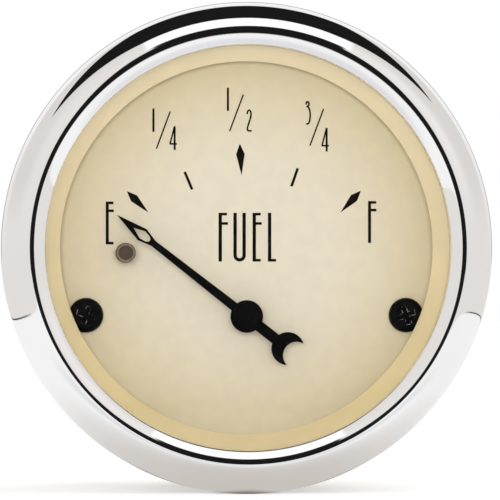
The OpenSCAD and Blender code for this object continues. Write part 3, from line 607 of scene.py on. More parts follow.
DUST_COLOUR = srgb(196, 188, 176)
DUST_DULLING = 0.5
LIGHT_SHARE = 0.6
ROUGH_SWING = 0.35
WORN_GAIN, WORN_LIFT = 1.25, 0.04


class Making(Enum):
    """How a surface was made, which sets its fine texture."""

    MOULDED = "moulded"
    PAINTED = "painted"
    TURNED = "turned"
    PLATED = "plated"
    DRAWN = "drawn"
    WOUND = "wound"
    LAYERED = "layered"
    SINTERED = "sintered"


@dataclass(frozen=True)
class Finish:
    """A finish: its colour, its shine and the fine texture of how it was made.

    size is the texture's grain in millimetres, relief the height of its bump in millimetres,
    uneven how far the shade varies at random, wear_and_edge_light how much of the edge colour
    worn_and_edge_light, by default a lighter one, shows on outer edges, as a scuffed coat on most
    finishes, as painted light on the ring's edges and as painted glints on the screws, edge how wide
    that is and patch how large its patches are, both in millimetres, scarce how few of them there are,
    gloss the plain level of its highlights, axis the middle of turned lines, and on the CAD nodes
    that have the finish.
    """

    name: str
    colour: Colour
    making: Making
    metallic: float = 0.0
    roughness: float = 0.5
    size: float = 0.25
    relief: float = 0.01
    uneven: float = 0.12
    wear_and_edge_light: float = 0.3
    worn_and_edge_light: Colour | None = None
    edge: float = 0.3
    patch: float = 0.5
    scarce: float = 0.35
    dust: float = 0.05
    coat: float = 0.0
    gloss: float = 0.5
    axis: Place = (0.0, 0.0)
    stretch: tuple[float, float, float] = (1.0, 0.05, 1.0)
    on: tuple[str, ...] = ()

    def texture(self, graph: Graph, where: Socket) -> Sockets:
        """The shared effect that fits how the surface was made.

        Args:
            graph: The material's graph.
            where: The vector that places the texture.

        Returns:
            Its Height and its Shade.
        """
        if self.making is Making.TURNED:
            across, up = (part * MM for part in self.axis)
            return EFFECTS.lay(graph, Effect.LATHE_LINES, where, Across=across, Up=up, Pitch=self.size)
        if self.making is Making.PLATED:
            return EFFECTS.lay(graph, Effect.PLATING_MOTTLE, where, Size=self.size)
        if self.making in (Making.DRAWN, Making.WOUND, Making.LAYERED):
            x, y, z = self.stretch
            return EFFECTS.lay(
                graph, Effect.STRETCHED_LINES, where, Pitch=self.size, Along_X=x, Along_Y=y, Along_Z=z
            )
        return EFFECTS.lay(graph, Effect.FINE_GRAIN, where, Size=self.size)

    def base(self, graph: Graph, where: Socket) -> Feed:
        """The colour before shade, wear and dust are laid over it."""
        return self.colour

    def build(self) -> Material:
        """Makes the material.

        Returns:
            The finished material.
        """
        material, graph = new_material(self.name)
        where = graph.place()
        texture = self.texture(graph, where)
        shade = texture["Shade"]
        light = graph.span(shade, 0.0, 1.0, 1.0 - self.uneven, 1.0 + LIGHT_SHARE * self.uneven)
        colour = graph.scaled(self.base(graph, where), light)
        # Outer edges take the edge colour: a scuffed coat on most finishes, but painted light on the
        # ring's edges and painted glints on the screws.
        wear_and_light_mask = EFFECTS.lay(
            graph, Effect.EDGE_WEAR_AND_LIGHT, where, Radius=self.edge * MM, Breakup=self.patch, Scarce=self.scarce
        )["Mask"]
        worn_and_edge_light = self.worn_and_edge_light or (*(min(1.0, part * WORN_GAIN + WORN_LIFT) for part in self.colour[:3]), 1.0)
        colour = graph.blend(graph.times(wear_and_light_mask, self.wear_and_edge_light), colour, worn_and_edge_light)
        settled = EFFECTS.lay(graph, Effect.DUST, where, Amount=self.dust)["Mask"]
        swing = ROUGH_SWING * self.roughness / 2
        rough = graph.span(shade, 0.0, 1.0, self.roughness - swing, self.roughness + swing)
        bump = {"Strength": 1.0, "Distance": self.relief * MM, "Height": texture["Height"]}
        shader = graph.add("ShaderNodeBsdfPrincipled", {
            "Base Color": graph.blend(settled, colour, DUST_COLOUR),
            "Roughness": graph.math("ADD", rough, graph.times(settled, DUST_DULLING), clamp=True),
            "Metallic": self.metallic,
            "Coat Weight": self.coat,
            "Specular IOR Level": self.gloss,
            "Normal": graph.add("ShaderNodeBump", bump).outputs[0],
        })
        graph.show(shader.outputs[0])
        return material


@dataclass(frozen=True)
class DialFinish(Finish):
    """Cream paint, darkened with painted shade towards the dial's edge."""

    shaded_rim_colour: Colour = srgb(217, 202, 164)
    middle_r: float = 9.0
    rim_r: float = 25.0

    def base(self, graph: Graph, where: Socket) -> Feed:
        """Cream in the middle, with painted shade, deeper and yellower, at the rim.

        Args:
            graph: The material's graph.
            where: Where the surface point is.

        Returns:
            The colour.
        """
        across, _, up = graph.in_mm(where)
        # Painted shade, growing from middle_r to rim_r, where the ring and the bezel shade the dial.
        share = graph.span(graph.length(across, up), self.middle_r, self.rim_r)
        return graph.blend(share, self.colour, self.shaded_rim_colour)


@dataclass(frozen=True)
class RingFinish(Finish):
    """Cream plastic graded from painted shade, deeper and yellower at the bottom, to painted light at the
    top.

    sideways and lower span the lower sides of the ring, which side_light_gain lightens with painted
    light, and leftward the part to the left, which left_light_gain lightens with painted light, all in
    millimetres.
    """

    shaded_low_colour: Colour = srgb(228, 207, 156)
    reach: float = 24.0
    sideways: Span = (6.0, 17.0)
    lower: Span = (10.0, -10.0)
    side_light_gain: float = 0.07
    leftward: Span = (2.0, -20.0)
    left_light_gain: float = 0.045

    def base(self, graph: Graph, where: Socket) -> Feed:
        """Deeper cream at the bottom from painted shade; paler at the top, at the lower sides and to the
        left from painted light.

        Args:
            graph: The material's graph.
            where: Where the surface point is.

        Returns:
            The colour.
        """
        across, _, up = graph.in_mm(where)
        # Painted light: paler at the lower sides and to the left.
        aside = graph.span(graph.unsigned(across), *self.sideways)
        sides = graph.times(aside, graph.span(up, *self.lower, 0.0, self.side_light_gain))
        left = graph.span(across, *self.leftward, 1.0, 1.0 + self.left_light_gain)
        # Painted shade at the bottom, fading to painted light at the top.
        cream = graph.blend(graph.span(up, -self.reach, self.reach), self.shaded_low_colour, self.colour)
        return graph.scaled(cream, graph.plus(sides, left))


@dataclass(frozen=True)
class SleeveFinish(Finish):
    """Rubber sleeve, with painted shade round its edge and painted reflections in streaks up it."""

    shaded_edge_colour: Colour = srgb(72, 60, 42)
    reflection_streak_colour: Colour = srgb(140, 126, 98)
    inner_r: float = 0.98
    outer_r: float = 1.15
    streaks_per_mm: float = 1.1
    streak_shape: float = 6.0
    streak_span: Span = (0.4, 0.6)

    def base(self, graph: Graph, where: Socket) -> Feed:
        """The sleeve's colour with painted reflections, darkening with painted shade to the edge.

        Args:
            graph: The material's graph.
            where: Where the surface point is.

        Returns:
            The colour.
        """
        across, _, up = graph.in_mm(where)
        radius = graph.length(graph.minus(across, self.axis[0]), graph.minus(up, self.axis[1]))
        # Painted reflections: faint light streaks that run up the sleeve.
        drawn = graph.joined(graph.times(across, self.streak_shape), 0.0, up)
        streaks = graph.span(graph.noise(drawn, self.streaks_per_mm, detail=2.0), *self.streak_span)
        body = graph.blend(streaks, self.colour, self.reflection_streak_colour)
        # Painted shade round the sleeve's edge.
        return graph.blend(graph.span(radius, self.inner_r, self.outer_r), body, self.shaded_edge_colour)


@dataclass(frozen=True)
class ClearFinish:
    """Clear glass that lets lamps and soft light through to what lies behind it."""

    name: str
    tint: Colour = (1.0, 1.0, 1.0, 1.0)
    index: float = 1.5
    smudge: float = 0.012
    smudge_size: float = 2.0
    on: tuple[str, ...] = ()

    def build(self) -> Material:
        """Makes the material.

        Returns:
            Glass for the camera, and clear for shadow, diffuse and glossy rays.
        """
        material, graph = new_material(self.name)
        smear = EFFECTS.lay(graph, Effect.FINE_GRAIN, graph.place(), Size=self.smudge_size)
        glass = graph.add("ShaderNodeBsdfPrincipled", {
            "Base Color": self.tint,
            "Roughness": graph.times(smear["Shade"], self.smudge),
            "IOR": self.index,
            "Transmission Weight": 1.0,
        })
        clear = graph.add("ShaderNodeBsdfTransparent")
        rays = graph.rays()
        soft = graph.larger(rays["Is Diffuse Ray"], rays["Is Glossy Ray"])
        share = graph.larger(rays["Is Shadow Ray"], soft)
        graph.show(graph.mixed(share, glass.outputs[0], clear.outputs[0]))
        return material


class FinishShop:
    """Makes each finish's material once and lays it on pieces and CAD nodes."""

    def __init__(self) -> None:
        """Starts with no material made."""
        self.made: dict[str, Material] = {}

    def lay(self, piece: bpy.types.Object, finish: Finish | ClearFinish) -> None:
        """Gives a piece one finish all over, its material made on its first use.

        Args:
            piece: The piece.
            finish: Its finish.
        """
        if finish.name not in self.made:
            self.made[finish.name] = finish.build()
        if not piece.material_slots:
            piece.data.materials.append(None)
        for place in piece.material_slots:
            place.link = "OBJECT"
            place.material = self.made[finish.name]


FINISHES = FinishShop()


class Dress:
    """A sub-assembly whose fields hold its sizes and the finishes of its pieces and CAD nodes."""

    def dress(self) -> None:
        """Lays each of the sub-assembly's finishes on the CAD nodes that have it."""
        for finish in vars(self).values():
            if isinstance(finish, Finish | ClearFinish):
                for node in finish.on:
                    FINISHES.lay(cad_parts[node], finish)
                    LOG.info("dressed %s in %s", node, finish.name)

    def build(self) -> None:
        """Dresses the CAD nodes; a sub-assembly with pieces of its own builds them here too."""
        self.dress()


# ---- studio


@dataclass(frozen=True)
class Camera:
    """The camera, where the photograph was taken from, in degrees and millimetres."""

    azimuth: float = -3.35
    elevation: float = -0.4
    distance: float = 650.0
    focal: float = 394.85
    sensor: float = 36.0
    aim_right: float = 0.529
    aim_up: float = -0.235
    nearest: float = 10.0
    farthest: float = 20000.0

    def build(self) -> None:
        """Places the camera and makes it the scene's."""
        turn, rise = math.radians(self.azimuth), math.radians(self.elevation)
        back = Vector((math.sin(turn) * math.cos(rise), -math.cos(turn) * math.cos(rise), math.sin(rise)))
        right = Vector((math.cos(turn), math.sin(turn), 0.0))
        above = right.cross(-back)
        target = (right * self.aim_right + above * self.aim_up) * MM
        data = bpy.data.cameras.new("camera")
        data.sensor_width = self.sensor
        data.lens = self.focal
        data.clip_start = self.nearest * MM
        data.clip_end = self.farthest * MM
        camera = bpy.data.objects.new("camera", data)
        camera.location = target + back * (self.distance * MM)
        camera.rotation_euler = (-back).to_track_quat("-Z", "Y").to_euler()
        bpy.context.scene.collection.objects.link(camera)
        bpy.context.scene.camera = camera
        LOG.info("placed the camera %.0f mm away", self.distance)


@dataclass(frozen=True)
class Lamp:
    """A square soft lamp that looks at the gauge and that chrome doesn't see, in metres and watts."""

    name: str
    at: tuple[float, float, float]
    side: float
    power: float

    def build(self) -> None:
        """Hangs the lamp."""
        data = bpy.data.lights.new(self.name, "AREA")
        data.size = self.side
        data.energy = self.power
        lamp = bpy.data.objects.new(self.name, data)
        lamp.location = self.at
        lamp.rotation_euler = (-Vector(self.at)).to_track_quat("-Z", "Y").to_euler()
        lamp.visible_glossy = lamp.visible_camera = lamp.visible_transmission = False
        bpy.context.scene.collection.objects.link(lamp)
        LOG.info("hung %s", self.name)


@dataclass(frozen=True)
class Room:
    """The cards and dark places round the gauge, by direction, as its chrome sees them.

    Angles are in degrees, away from straight ahead of the dial or, with clock in their name, from
    straight up round it. The black crescent narrows from its low and high edges at black_clock to
    its tip at tip_clock. The lens is the camera's, and over is the dark above it. The tone of the
    room grows lighter to the right and darker away from straight ahead, more so overhead.
    """

    tone: Colour = srgb(232, 229, 225)
    lighter: Span = (50.0, 28.0)
    rightward: Span = (-0.35, 0.35)
    light_gain: Span = (0.02, 0.12)
    darker: Span = (40.0, 66.0)
    dark_loss: float = 0.08
    overhead: Span = (0.02, 0.3)
    paper: Colour = srgb(250, 250, 249)
    behind: Span = (112.0, 126.0)
    behind_clock: Span = (100.0, 50.0)
    outline: Span = (153.0, 174.0)
    outline_soft: float = 3.0
    outline_grey: float = 0.42
    card_white: float = 1.08
    card_clock: float = 27.0
    card_black: float = 0.0105
    black_low: float = 52.5
    black_high: float = 118.0
    black_tip: float = 77.0
    black_clock: float = 25.0
    tip_clock: float = 54.0
    tip_soft: float = 0.6
    black_turn: float = 2.4
    black_curve: float = 1.06
    over_reach: float = 20.0
    lens_reach: float = 8.4
    lens_spread: float = 5.0
    lens_clock: float = 52.0
    soft: float = 0.8

    def crescent(self, graph: Graph, off_axis: Socket, turn: Socket) -> Socket:
        """The black crescent overhead.

        Args:
            graph: The world's graph.
            off_axis: The angle away from straight ahead of the dial.
            turn: The angle round it from straight up.

        Returns:
            Its mask.
        """
        aslant = graph.unsigned(graph.plus(turn, self.black_turn))
        narrow = graph.minus(aslant, self.black_clock)
        narrow = graph.math("DIVIDE", narrow, self.tip_clock - self.black_clock, clamp=True)
        narrow = graph.math("POWER", narrow, self.black_curve)
        low = graph.plus(self.black_low, graph.times(narrow, self.black_tip - self.black_low))
        high = graph.minus(self.black_high, graph.times(narrow, self.black_high - self.black_tip))
        ends = graph.under(aslant, self.tip_clock, self.tip_soft)
        return graph.times(graph.window(off_axis, low, high, self.soft), ends)

    def plain(self, graph: Graph, across: Socket, up: Socket, off_axis: Socket) -> Socket:
        """The tone of the bare room.

        Args:
            graph: The world's graph.
            across: The direction's part to the right.
            up: Its part upwards.
            off_axis: Its angle away from straight ahead of the dial.

        Returns:
            Its colour.
        """
        gain = graph.span(across, *self.rightward, *self.light_gain)
        lighter = graph.times(graph.span(off_axis, *self.lighter), gain)
        graded = graph.minus(lighter, graph.span(off_axis, *self.darker, 0.0, self.dark_loss))
        graded = graph.times(graded, graph.span(up, *self.overhead))
        return graph.scaled(self.tone, graph.plus(graded, 1.0))

    def colour(self, graph: Graph, azimuth: float) -> Socket:
        """The room and all that stands in it.

        Args:
            graph: The world's graph.
            azimuth: The camera's angle round the gauge.

        Returns:
            The colour seen in each direction.
        """
        across, back, up = graph.parts(graph.add("ShaderNodeTexCoord").outputs["Generated"])
        across = graph.plus(across, math.sin(math.radians(azimuth)))
        tilt = graph.math("ARCTAN2", graph.length(across, up), graph.times(back, -1.0))
        off_axis = graph.math("DEGREES", tilt)
        turn = graph.math("DEGREES", graph.math("ARCTAN2", across, up))
        clock = graph.unsigned(turn)
        behind = graph.times(graph.span(off_axis, *self.behind), graph.span(clock, *self.behind_clock))
        outline = graph.window(off_axis, *self.outline, self.outline_soft)
        card = graph.window(off_axis, self.over_reach, self.black_low, self.soft)
        card = graph.times(card, graph.under(clock, self.card_clock, self.soft))
        over = graph.under(off_axis, self.over_reach, self.soft)
        over = graph.times(over, graph.under(clock, self.black_clock, self.soft))
        spread = graph.times(graph.span(clock, self.lens_clock, self.black_clock), self.lens_spread)
        dark = graph.larger(over, graph.under(off_axis, graph.plus(spread, self.lens_reach), self.soft))
        colour = graph.blend(behind, self.plain(graph, across, up, off_axis), self.paper)
        for mask, light in (
            (outline, self.outline_grey), (card, self.card_white), (dark, self.card_black),
            (self.crescent(graph, off_axis, turn), self.card_black),
        ):
            colour = graph.blend(mask, colour, grey(light))
        return colour


@dataclass(frozen=True)
class Floor:
    """White paper that keeps the gauge's shadow, and a painted reflection of it that the chrome sees in
    its place.

    Places are in millimetres from the floor's point under the middle of the bezel's rear. The
    chrome sees paper from side to side, painted as a glow, with painted shade in a darker place before
    the gauge, a painted shadow round its foot and beneath its barrel, a line along the paper's edge,
    the room beyond, and an unlit wedge that widens straight ahead.
    """

    room: Room
    azimuth: float
    up: float = -29.0
    half: float = 3000.0
    fibres_per_mm: float = 0.8
    fibre_greys: Span = (0.86, 0.9)
    glow: float = 0.48
    paper_half: float = 98.0
    paper_across: float = 8.0
    paper_soft: float = 0.3
    before_near: Span = (30.0, 55.0)
    before_far: Span = (150.0, 70.0)
    before_side: Span = (60.0, 20.0)
    before_shade_tone: Colour = srgb(231, 231, 234)
    shade_reach: Span = (46.0, 4.0)
    shade_tone: Colour = srgb(206, 200, 193)
    foot_reach: Span = (5.2, 3.4)
    barrel: Span = (1.0, 45.0)
    barrel_soft: float = 2.5
    barrel_side: Span = (17.0, 8.5)
    foot_shadow_tone: Colour = srgb(84, 74, 70)
    line_w: float = 2.4
    line_soft: float = 0.4
    line_back: Span = (-120.0, -30.0)
    line_grey: float = 0.05
    unlit_ahead: Span = (260.0, 500.0)
    unlit_start: float = 40.0
    unlit_spread: float = 0.14
    unlit_edge: Span = (20.0, 0.0)

    def paper(self, graph: Graph, across: Socket, back: Socket) -> Socket:
        """The paper with its painted shade and painted shadows.

        Args:
            graph: The floor's graph.
            across: The place to the right.
            back: The place to the rear.

        Returns:
            The colour that the chrome sees.
        """
        ahead, aside = graph.times(back, -1.0), graph.unsigned(across)
        reach = graph.length(across, back)
        before = graph.times(graph.span(ahead, *self.before_near), graph.span(ahead, *self.before_far))
        before = graph.times(before, graph.span(aside, *self.before_side))
        beneath = graph.window(back, *self.barrel, self.barrel_soft)
        beneath = graph.times(beneath, graph.span(aside, *self.barrel_side))
        # Painted shade before the gauge and round its foot, and a painted shadow beneath its barrel.
        colour = graph.blend(before, self.room.paper, self.before_shade_tone)
        colour = graph.blend(graph.span(reach, *self.shade_reach), colour, self.shade_tone)
        colour = graph.blend(graph.span(reach, *self.foot_reach), colour, self.foot_shadow_tone)
        return graph.blend(beneath, colour, self.foot_shadow_tone)

    def mirrored(self, graph: Graph, where: Socket) -> Socket:
        """The painted reflection of the paper, with its painted shade, and of the room beyond its edges.

        Args:
            graph: The floor's graph.
            where: The place on the floor, in metres.

        Returns:
            The colour that the chrome sees.
        """
        across, back, _ = graph.in_mm(where)
        aside = graph.unsigned(graph.minus(across, self.paper_across))
        line = graph.window(aside, self.paper_half, self.paper_half + self.line_w, self.line_soft)
        line = graph.times(line, graph.span(back, *self.line_back))
        far = graph.blend(line, self.room.tone, grey(self.line_grey))
        beyond = graph.span(aside, self.paper_half - self.paper_soft, self.paper_half + self.paper_soft)
        colour = graph.blend(beyond, self.paper(graph, across, back), far)
        ahead = graph.times(back, -1.0)
        middle = graph.times(ahead, -math.sin(math.radians(self.azimuth)))
        wide = graph.minus(graph.times(ahead, self.unlit_spread), self.unlit_start)
        strayed = graph.minus(graph.unsigned(graph.minus(across, middle)), wide)
        unlit = graph.times(graph.span(ahead, *self.unlit_ahead), graph.span(strayed, *self.unlit_edge))
        return graph.blend(unlit, colour, grey(self.room.card_black))

    def build(self) -> None:
        """Lays the floor."""
        half = self.half
        corners = ((-half, -half), (half, -half), (half, half), (-half, half))
        mesh = bpy.data.meshes.new("floor")
        mesh.from_pydata([spot(x, self.up, y) for x, y in corners], [], [(3, 2, 1, 0)])
        floor = bpy.data.objects.new("floor", mesh)
        bpy.context.scene.collection.objects.link(floor)
        material, graph = new_material("white_paper")
        where = graph.place()
        fibre = graph.spread(graph.noise(where, self.fibres_per_mm / MM, detail=4.0))
        paper = graph.blend(fibre, *(grey(light) for light in self.fibre_greys))
        plain = graph.add("ShaderNodeBsdfDiffuse", {"Color": paper})
        # The chrome sees the painted reflection as a glow instead of the lit paper.
        aglow = graph.add("ShaderNodeEmission", {"Color": self.mirrored(graph, where)})
        rays = graph.rays()
        ground = graph.mixed(rays["Is Glossy Ray"], plain.outputs[0], aglow.outputs[0])
        lit = graph.add("ShaderNodeEmission", {"Strength": graph.times(graph.seen(rays), self.glow)})
        graph.show(graph.add("ShaderNodeAddShader", {0: ground, 1: lit.outputs[0]}).outputs[0])
        mesh.materials.append(material)
        LOG.info("laid the floor")


@dataclass
class Studio:
    """The camera, two soft lamps, the white floor and the room that the chrome sees."""

    ambient: float = 0.62
    camera: Camera = Camera()
    room: Room = Room()
    lamps: tuple[Lamp, ...] = (
        Lamp("lamp_front", (-0.0555, -0.95, -0.0066), side=0.5, power=8.2),
        Lamp("lamp_back", (0.45, 0.6, 0.8), side=0.6, power=2.0),
    )

    def build_world(self) -> None:
        """White behind the gauge, soft light on it, and the room in its metal."""
        world = bpy.data.worlds.new("studio")
        world.use_nodes = True
        bpy.context.scene.world = world
        graph = Graph(world.node_tree)
        rays = graph.rays()
        room = self.room.colour(graph, self.camera.azimuth)
        colour = graph.blend(rays["Is Glossy Ray"], grey(self.ambient), room)
        colour = graph.blend(graph.seen(rays), colour, grey(1.0))
        light = graph.add("ShaderNodeBackground", {"Color": colour})
        graph.show(light.outputs[0], "ShaderNodeOutputWorld")

    def build(self) -> None:
        """Sets up the studio, with colours left as they are rendered."""
        bpy.context.scene.view_settings.view_transform = "Standard"
        self.build_world()
        for part in (self.camera, Floor(self.room, self.camera.azimuth), *self.lamps):
            part.build()


# ---- bezel, dial, pointer and movement


@dataclass
class BezelDress(Dress):
    """The rolled chrome bezel, its glass, its gasket and the ring behind the glass."""

    outer_r: float = 29.0
    wall: float = 0.6
    crest_r: float = 25.5
    dome_out: float = 3.2
    dome_r: float = 3.5
    sight_r: float = 23.85
    glass_out: float = 5.5
    rear_lip_r: float = 26.7
    corner: float = 0.12
    lip_angle: float = 1.5
    lip_in: float = 0.02
    lip_drops: Span = (0.03, 0.1)
    corner_steps: int = 4
    dome_steps: int = 72
    inner_steps: int = 32
    steps: int = 360
    chrome: Finish = Finish(
        "bezel_chrome", (0.93, 0.93, 0.94, 1.0), Making.MOULDED, metallic=1.0, roughness=0.035,
        size=1.4, relief=0.00025, uneven=0.02, wear_and_edge_light=0.0, dust=0.0,
    )
    glass: ClearFinish = ClearFinish("lens_glass", on=("lens",))
    rubber: Finish = Finish(
        "gasket_rubber", srgb(28, 27, 26), Making.MOULDED, roughness=0.75, size=0.3, dust=0.1,
        on=("lens_gasket",),
    )
    # Its edge colour srgb(236, 220, 180) is painted light against the shade along its inner edge.
    ring: RingFinish = RingFinish(
        "ring_plastic", srgb(250, 234, 197), Making.MOULDED, roughness=0.42, size=0.5, relief=0.002,
        uneven=0.025, wear_and_edge_light=0.25, worn_and_edge_light=srgb(236, 220, 180), dust=0.02, on=("reflector_ring",),
    )

    def outline(self) -> list[Place]:
        """The bezel's wall round its section.

        Returns:
            Its points as (radius, out).
        """
        centre = (self.crest_r, self.dome_out)
        inner_dome, inner_lip = self.dome_r - self.wall, self.sight_r + self.wall
        inward = math.degrees(math.acos((self.sight_r - self.crest_r) / self.dome_r))
        bend = math.degrees(math.acos((inner_lip - self.crest_r) / inner_dome))
        front = self.dome_out + self.dome_r * math.sin(math.radians(inward))
        return [
            *arc((self.outer_r - self.corner, self.corner), self.corner, -90.0, 0.0, self.corner_steps),
            *arc(centre, self.dome_r, 0.0, inward - self.lip_angle, self.dome_steps),
            (self.sight_r + self.lip_in, front - self.lip_drops[0]),
            (self.sight_r, front - self.lip_drops[1]),
            (self.sight_r, self.glass_out),
            (inner_lip, self.glass_out),
            *arc(centre, inner_dome, bend, 0.0, self.inner_steps),
            (self.outer_r - self.wall, self.wall),
            (self.rear_lip_r, self.wall),
            (self.rear_lip_r, 0.0),
        ]

    def build(self) -> None:
        """Builds the smooth bezel in place of the CAD one and dresses what it holds."""
        shape = Shape()
        shape.lathe(self.outline(), self.steps)
        bezel = shape.build("bezel_roll", "case", "chrome", sharp=50.0)
        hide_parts("bezel")
        FINISHES.lay(bezel, self.chrome)
        self.dress()


@dataclass
class DialDress(Dress):
    """The cream dial, its printed marks, its two screws and the peg the pointer rests on."""

    marks: Print = field(default_factory=lambda: Print(low=-1.1, high=-1.075))
    stem: float = 0.4
    arm: float = 0.31
    figure: float = 0.25
    curve: float = 0.2
    slash: float = 0.17
    four_stem: float = 0.24
    four_side: float = 0.19
    bowl_r: float = 0.535
    bowl_steps: int = 16
    tick: float = 0.32
    tick_r: Span = (16.31, 18.58)
    tick_clocks: Span = (-23.05, 19.27)
    # Its darker, yellower rim is painted shade.
    paint: DialFinish = DialFinish(
        "dial_paint", srgb(228, 218, 195), Making.PAINTED, roughness=0.55, size=0.16, relief=0.0035,
        uneven=0.022, wear_and_edge_light=0.2, dust=0.0, on=("dial",),
    )
    print_ink: Finish = Finish(
        "dial_ink", srgb(17, 14, 13), Making.PAINTED, size=0.1, relief=0.002, uneven=0.15, wear_and_edge_light=0.0,
        dust=0.0, gloss=0.06,
    )
    # The pale flecks on its edges and in its recess are painted glints.
    screw_black: Finish = Finish(
        "screw_black", srgb(10, 10, 11), Making.PAINTED, roughness=0.3, size=0.22, relief=0.006,
        wear_and_edge_light=2.4, worn_and_edge_light=srgb(228, 226, 222), edge=0.14, patch=0.4, scarce=0.545, dust=0.004, gloss=0.06,
        on=("dial_screws",),
    )
    pillar_brass: Finish = Finish(
        "pillar_brass", (0.76, 0.6, 0.3, 1.0), Making.TURNED, metallic=1.0, roughness=0.32, size=0.1,
        relief=0.004, axis=(18.95, -7.95), on=("dial_pillars",),
    )
    peg_steel: Finish = Finish(
        "stop_steel", srgb(82, 67, 55), Making.TURNED, metallic=0.3, size=0.1, relief=0.003, axis=PEG,
        dust=0.03, on=("stop_pin",),
    )
    # Its dark edge is painted shade and its light streaks are painted reflections.
    sleeve: SleeveFinish = SleeveFinish(
        "stop_sleeve", srgb(118, 104, 78), Making.MOULDED, roughness=0.55, size=0.3, relief=0.004,
        wear_and_edge_light=0.0, axis=PEG, on=("stop_sleeve",),
    )

    def print_limits(self) -> None:
        """The letters E and F at the two ends of the scale."""
        self.marks.bar(-16.61, 0.41, -16.25, 5.47)
        self.marks.bar(14.47, 0.6, 14.83, 5.57)
        for left, low, right in (
            (-16.3, 5.16, -15.7), (-16.3, 4.23, -15.66), (-16.3, 0.41, -15.7), (14.8, 5.25, 15.45),
            (14.8, 4.34, 15.47),
        ):
            self.marks.bar(left, low, right, low + self.arm)

    def print_word(self) -> None:
        """The word FUEL in tall narrow letters."""
        foot, top, waist, bowl_x = -1.61, 4.16, 2.74, -0.767
        for left in (-3.26, 0.77, 2.59):
            self.marks.bar(left, foot, left + self.stem, top)
        for left, low, right in (
            (-2.9, top - self.arm, -2.26), (-2.9, waist, -2.14), (1.13, top - self.arm, 1.74),
            (1.13, waist, 1.86), (1.13, foot, 1.74), (2.95, foot, 3.56),
        ):
            self.marks.bar(left, low, right, low + self.arm)
        bowl_low = foot + self.bowl_r + self.stem / 2
        bowl = arc((bowl_x, bowl_low), self.bowl_r, 180.0, 360.0, self.bowl_steps)
        self.marks.line(self.stem, (bowl_x - self.bowl_r, top), *bowl, (bowl_x + self.bowl_r, top))

    def print_fractions(self) -> None:
        """The quarter, half and three quarter figures."""
        for width, *path in (
            (self.figure, (-10.97, 13.72), (-10.97, 16.49)),
            (self.figure, (-2.15, 16.22), (-2.15, 18.96)),
            (self.slash, (-8.98, 16.15), (-10.62, 11.72)),
            (self.slash, (-0.32, 18.16), (-1.95, 13.81)),
            (self.slash, (9.19, 16.47), (7.57, 12.11)),
            (self.four_stem, (-8.46, 14.4), (-8.46, 11.57)),
            (self.four_side, (-8.48, 14.35), (-9.0, 12.32)),
            (self.curve, (-9.06, 12.3), (-8.2, 12.3)),
            (self.four_stem, (9.56, 14.23), (9.56, 11.43)),
            (self.four_side, (9.54, 14.18), (9.01, 12.13)),
            (self.curve, (8.95, 12.11), (9.82, 12.11)),
            (
                self.curve, (0.13, 15.84), (0.15, 16.06), (0.22, 16.22), (0.34, 16.3), (0.46, 16.26),
                (0.55, 16.12), (0.59, 15.9), (0.57, 15.6), (0.48, 15.23), (0.3, 14.7), (0.18, 14.26),
                (0.15, 14.03), (0.21, 13.9), (0.34, 13.86), (0.67, 13.86),
            ),
            (
                self.curve, (7.11, 16.98), (7.14, 17.18), (7.24, 17.31), (7.36, 17.3), (7.46, 17.16),
                (7.45, 16.97), (7.37, 16.84), (7.26, 16.76), (7.42, 16.62), (7.54, 16.35), (7.6, 15.95),
                (7.6, 15.5), (7.55, 15.08), (7.44, 14.8), (7.29, 14.69), (7.1, 14.7),
            ),
        ):
            self.marks.line(width, *path)

    def print_scale(self) -> None:
        """The diamonds at empty, half and full, and the two quarter marks."""
        self.marks.diamond((-14.12, 6.71), (-11.53, 4.15), 0.5)
        self.marks.diamond((13.63, 6.8), (11.17, 4.18), 0.5)
        self.marks.diamond((-0.74, 12.35), (-0.53, 8.59), 0.51)
        for clock in self.tick_clocks:
            self.marks.line(self.tick, *(polar(PIVOT, radius, clock) for radius in self.tick_r))

    def build(self) -> None:
        """Prints the dial and dresses all that stands on it."""
        for part in (self.print_limits, self.print_word, self.print_fractions, self.print_scale):
            part()
        FINISHES.lay(self.marks.build("dial_print", "case", "dial_paint"), self.print_ink)
        self.dress()


@dataclass
class PointerDress(Dress):
    """The black pointer with its hub, and the spindle and magnet that turn it."""

    paint: Finish = Finish(
        "pointer_paint", srgb(9, 9, 10), Making.PAINTED, roughness=0.42, size=0.2, relief=0.003,
        wear_and_edge_light=0.15, worn_and_edge_light=srgb(44, 40, 39), dust=0.0, gloss=0.05, on=("pointer", "pointer_hub"),
    )
    steel: Finish = Finish(
        "spindle_steel", (0.72, 0.72, 0.73, 1.0), Making.TURNED, metallic=1.0, roughness=0.25, size=0.08,
        relief=0.002, axis=PIVOT, on=("spindle",),
    )
    ferrite: Finish = Finish(
        "magnet_ferrite", srgb(60, 58, 60), Making.SINTERED, metallic=0.2, roughness=0.6, size=0.12,
        relief=0.012, wear_and_edge_light=0.4, worn_and_edge_light=srgb(110, 106, 104), on=("rotor_magnet", "return_magnet"),
    )


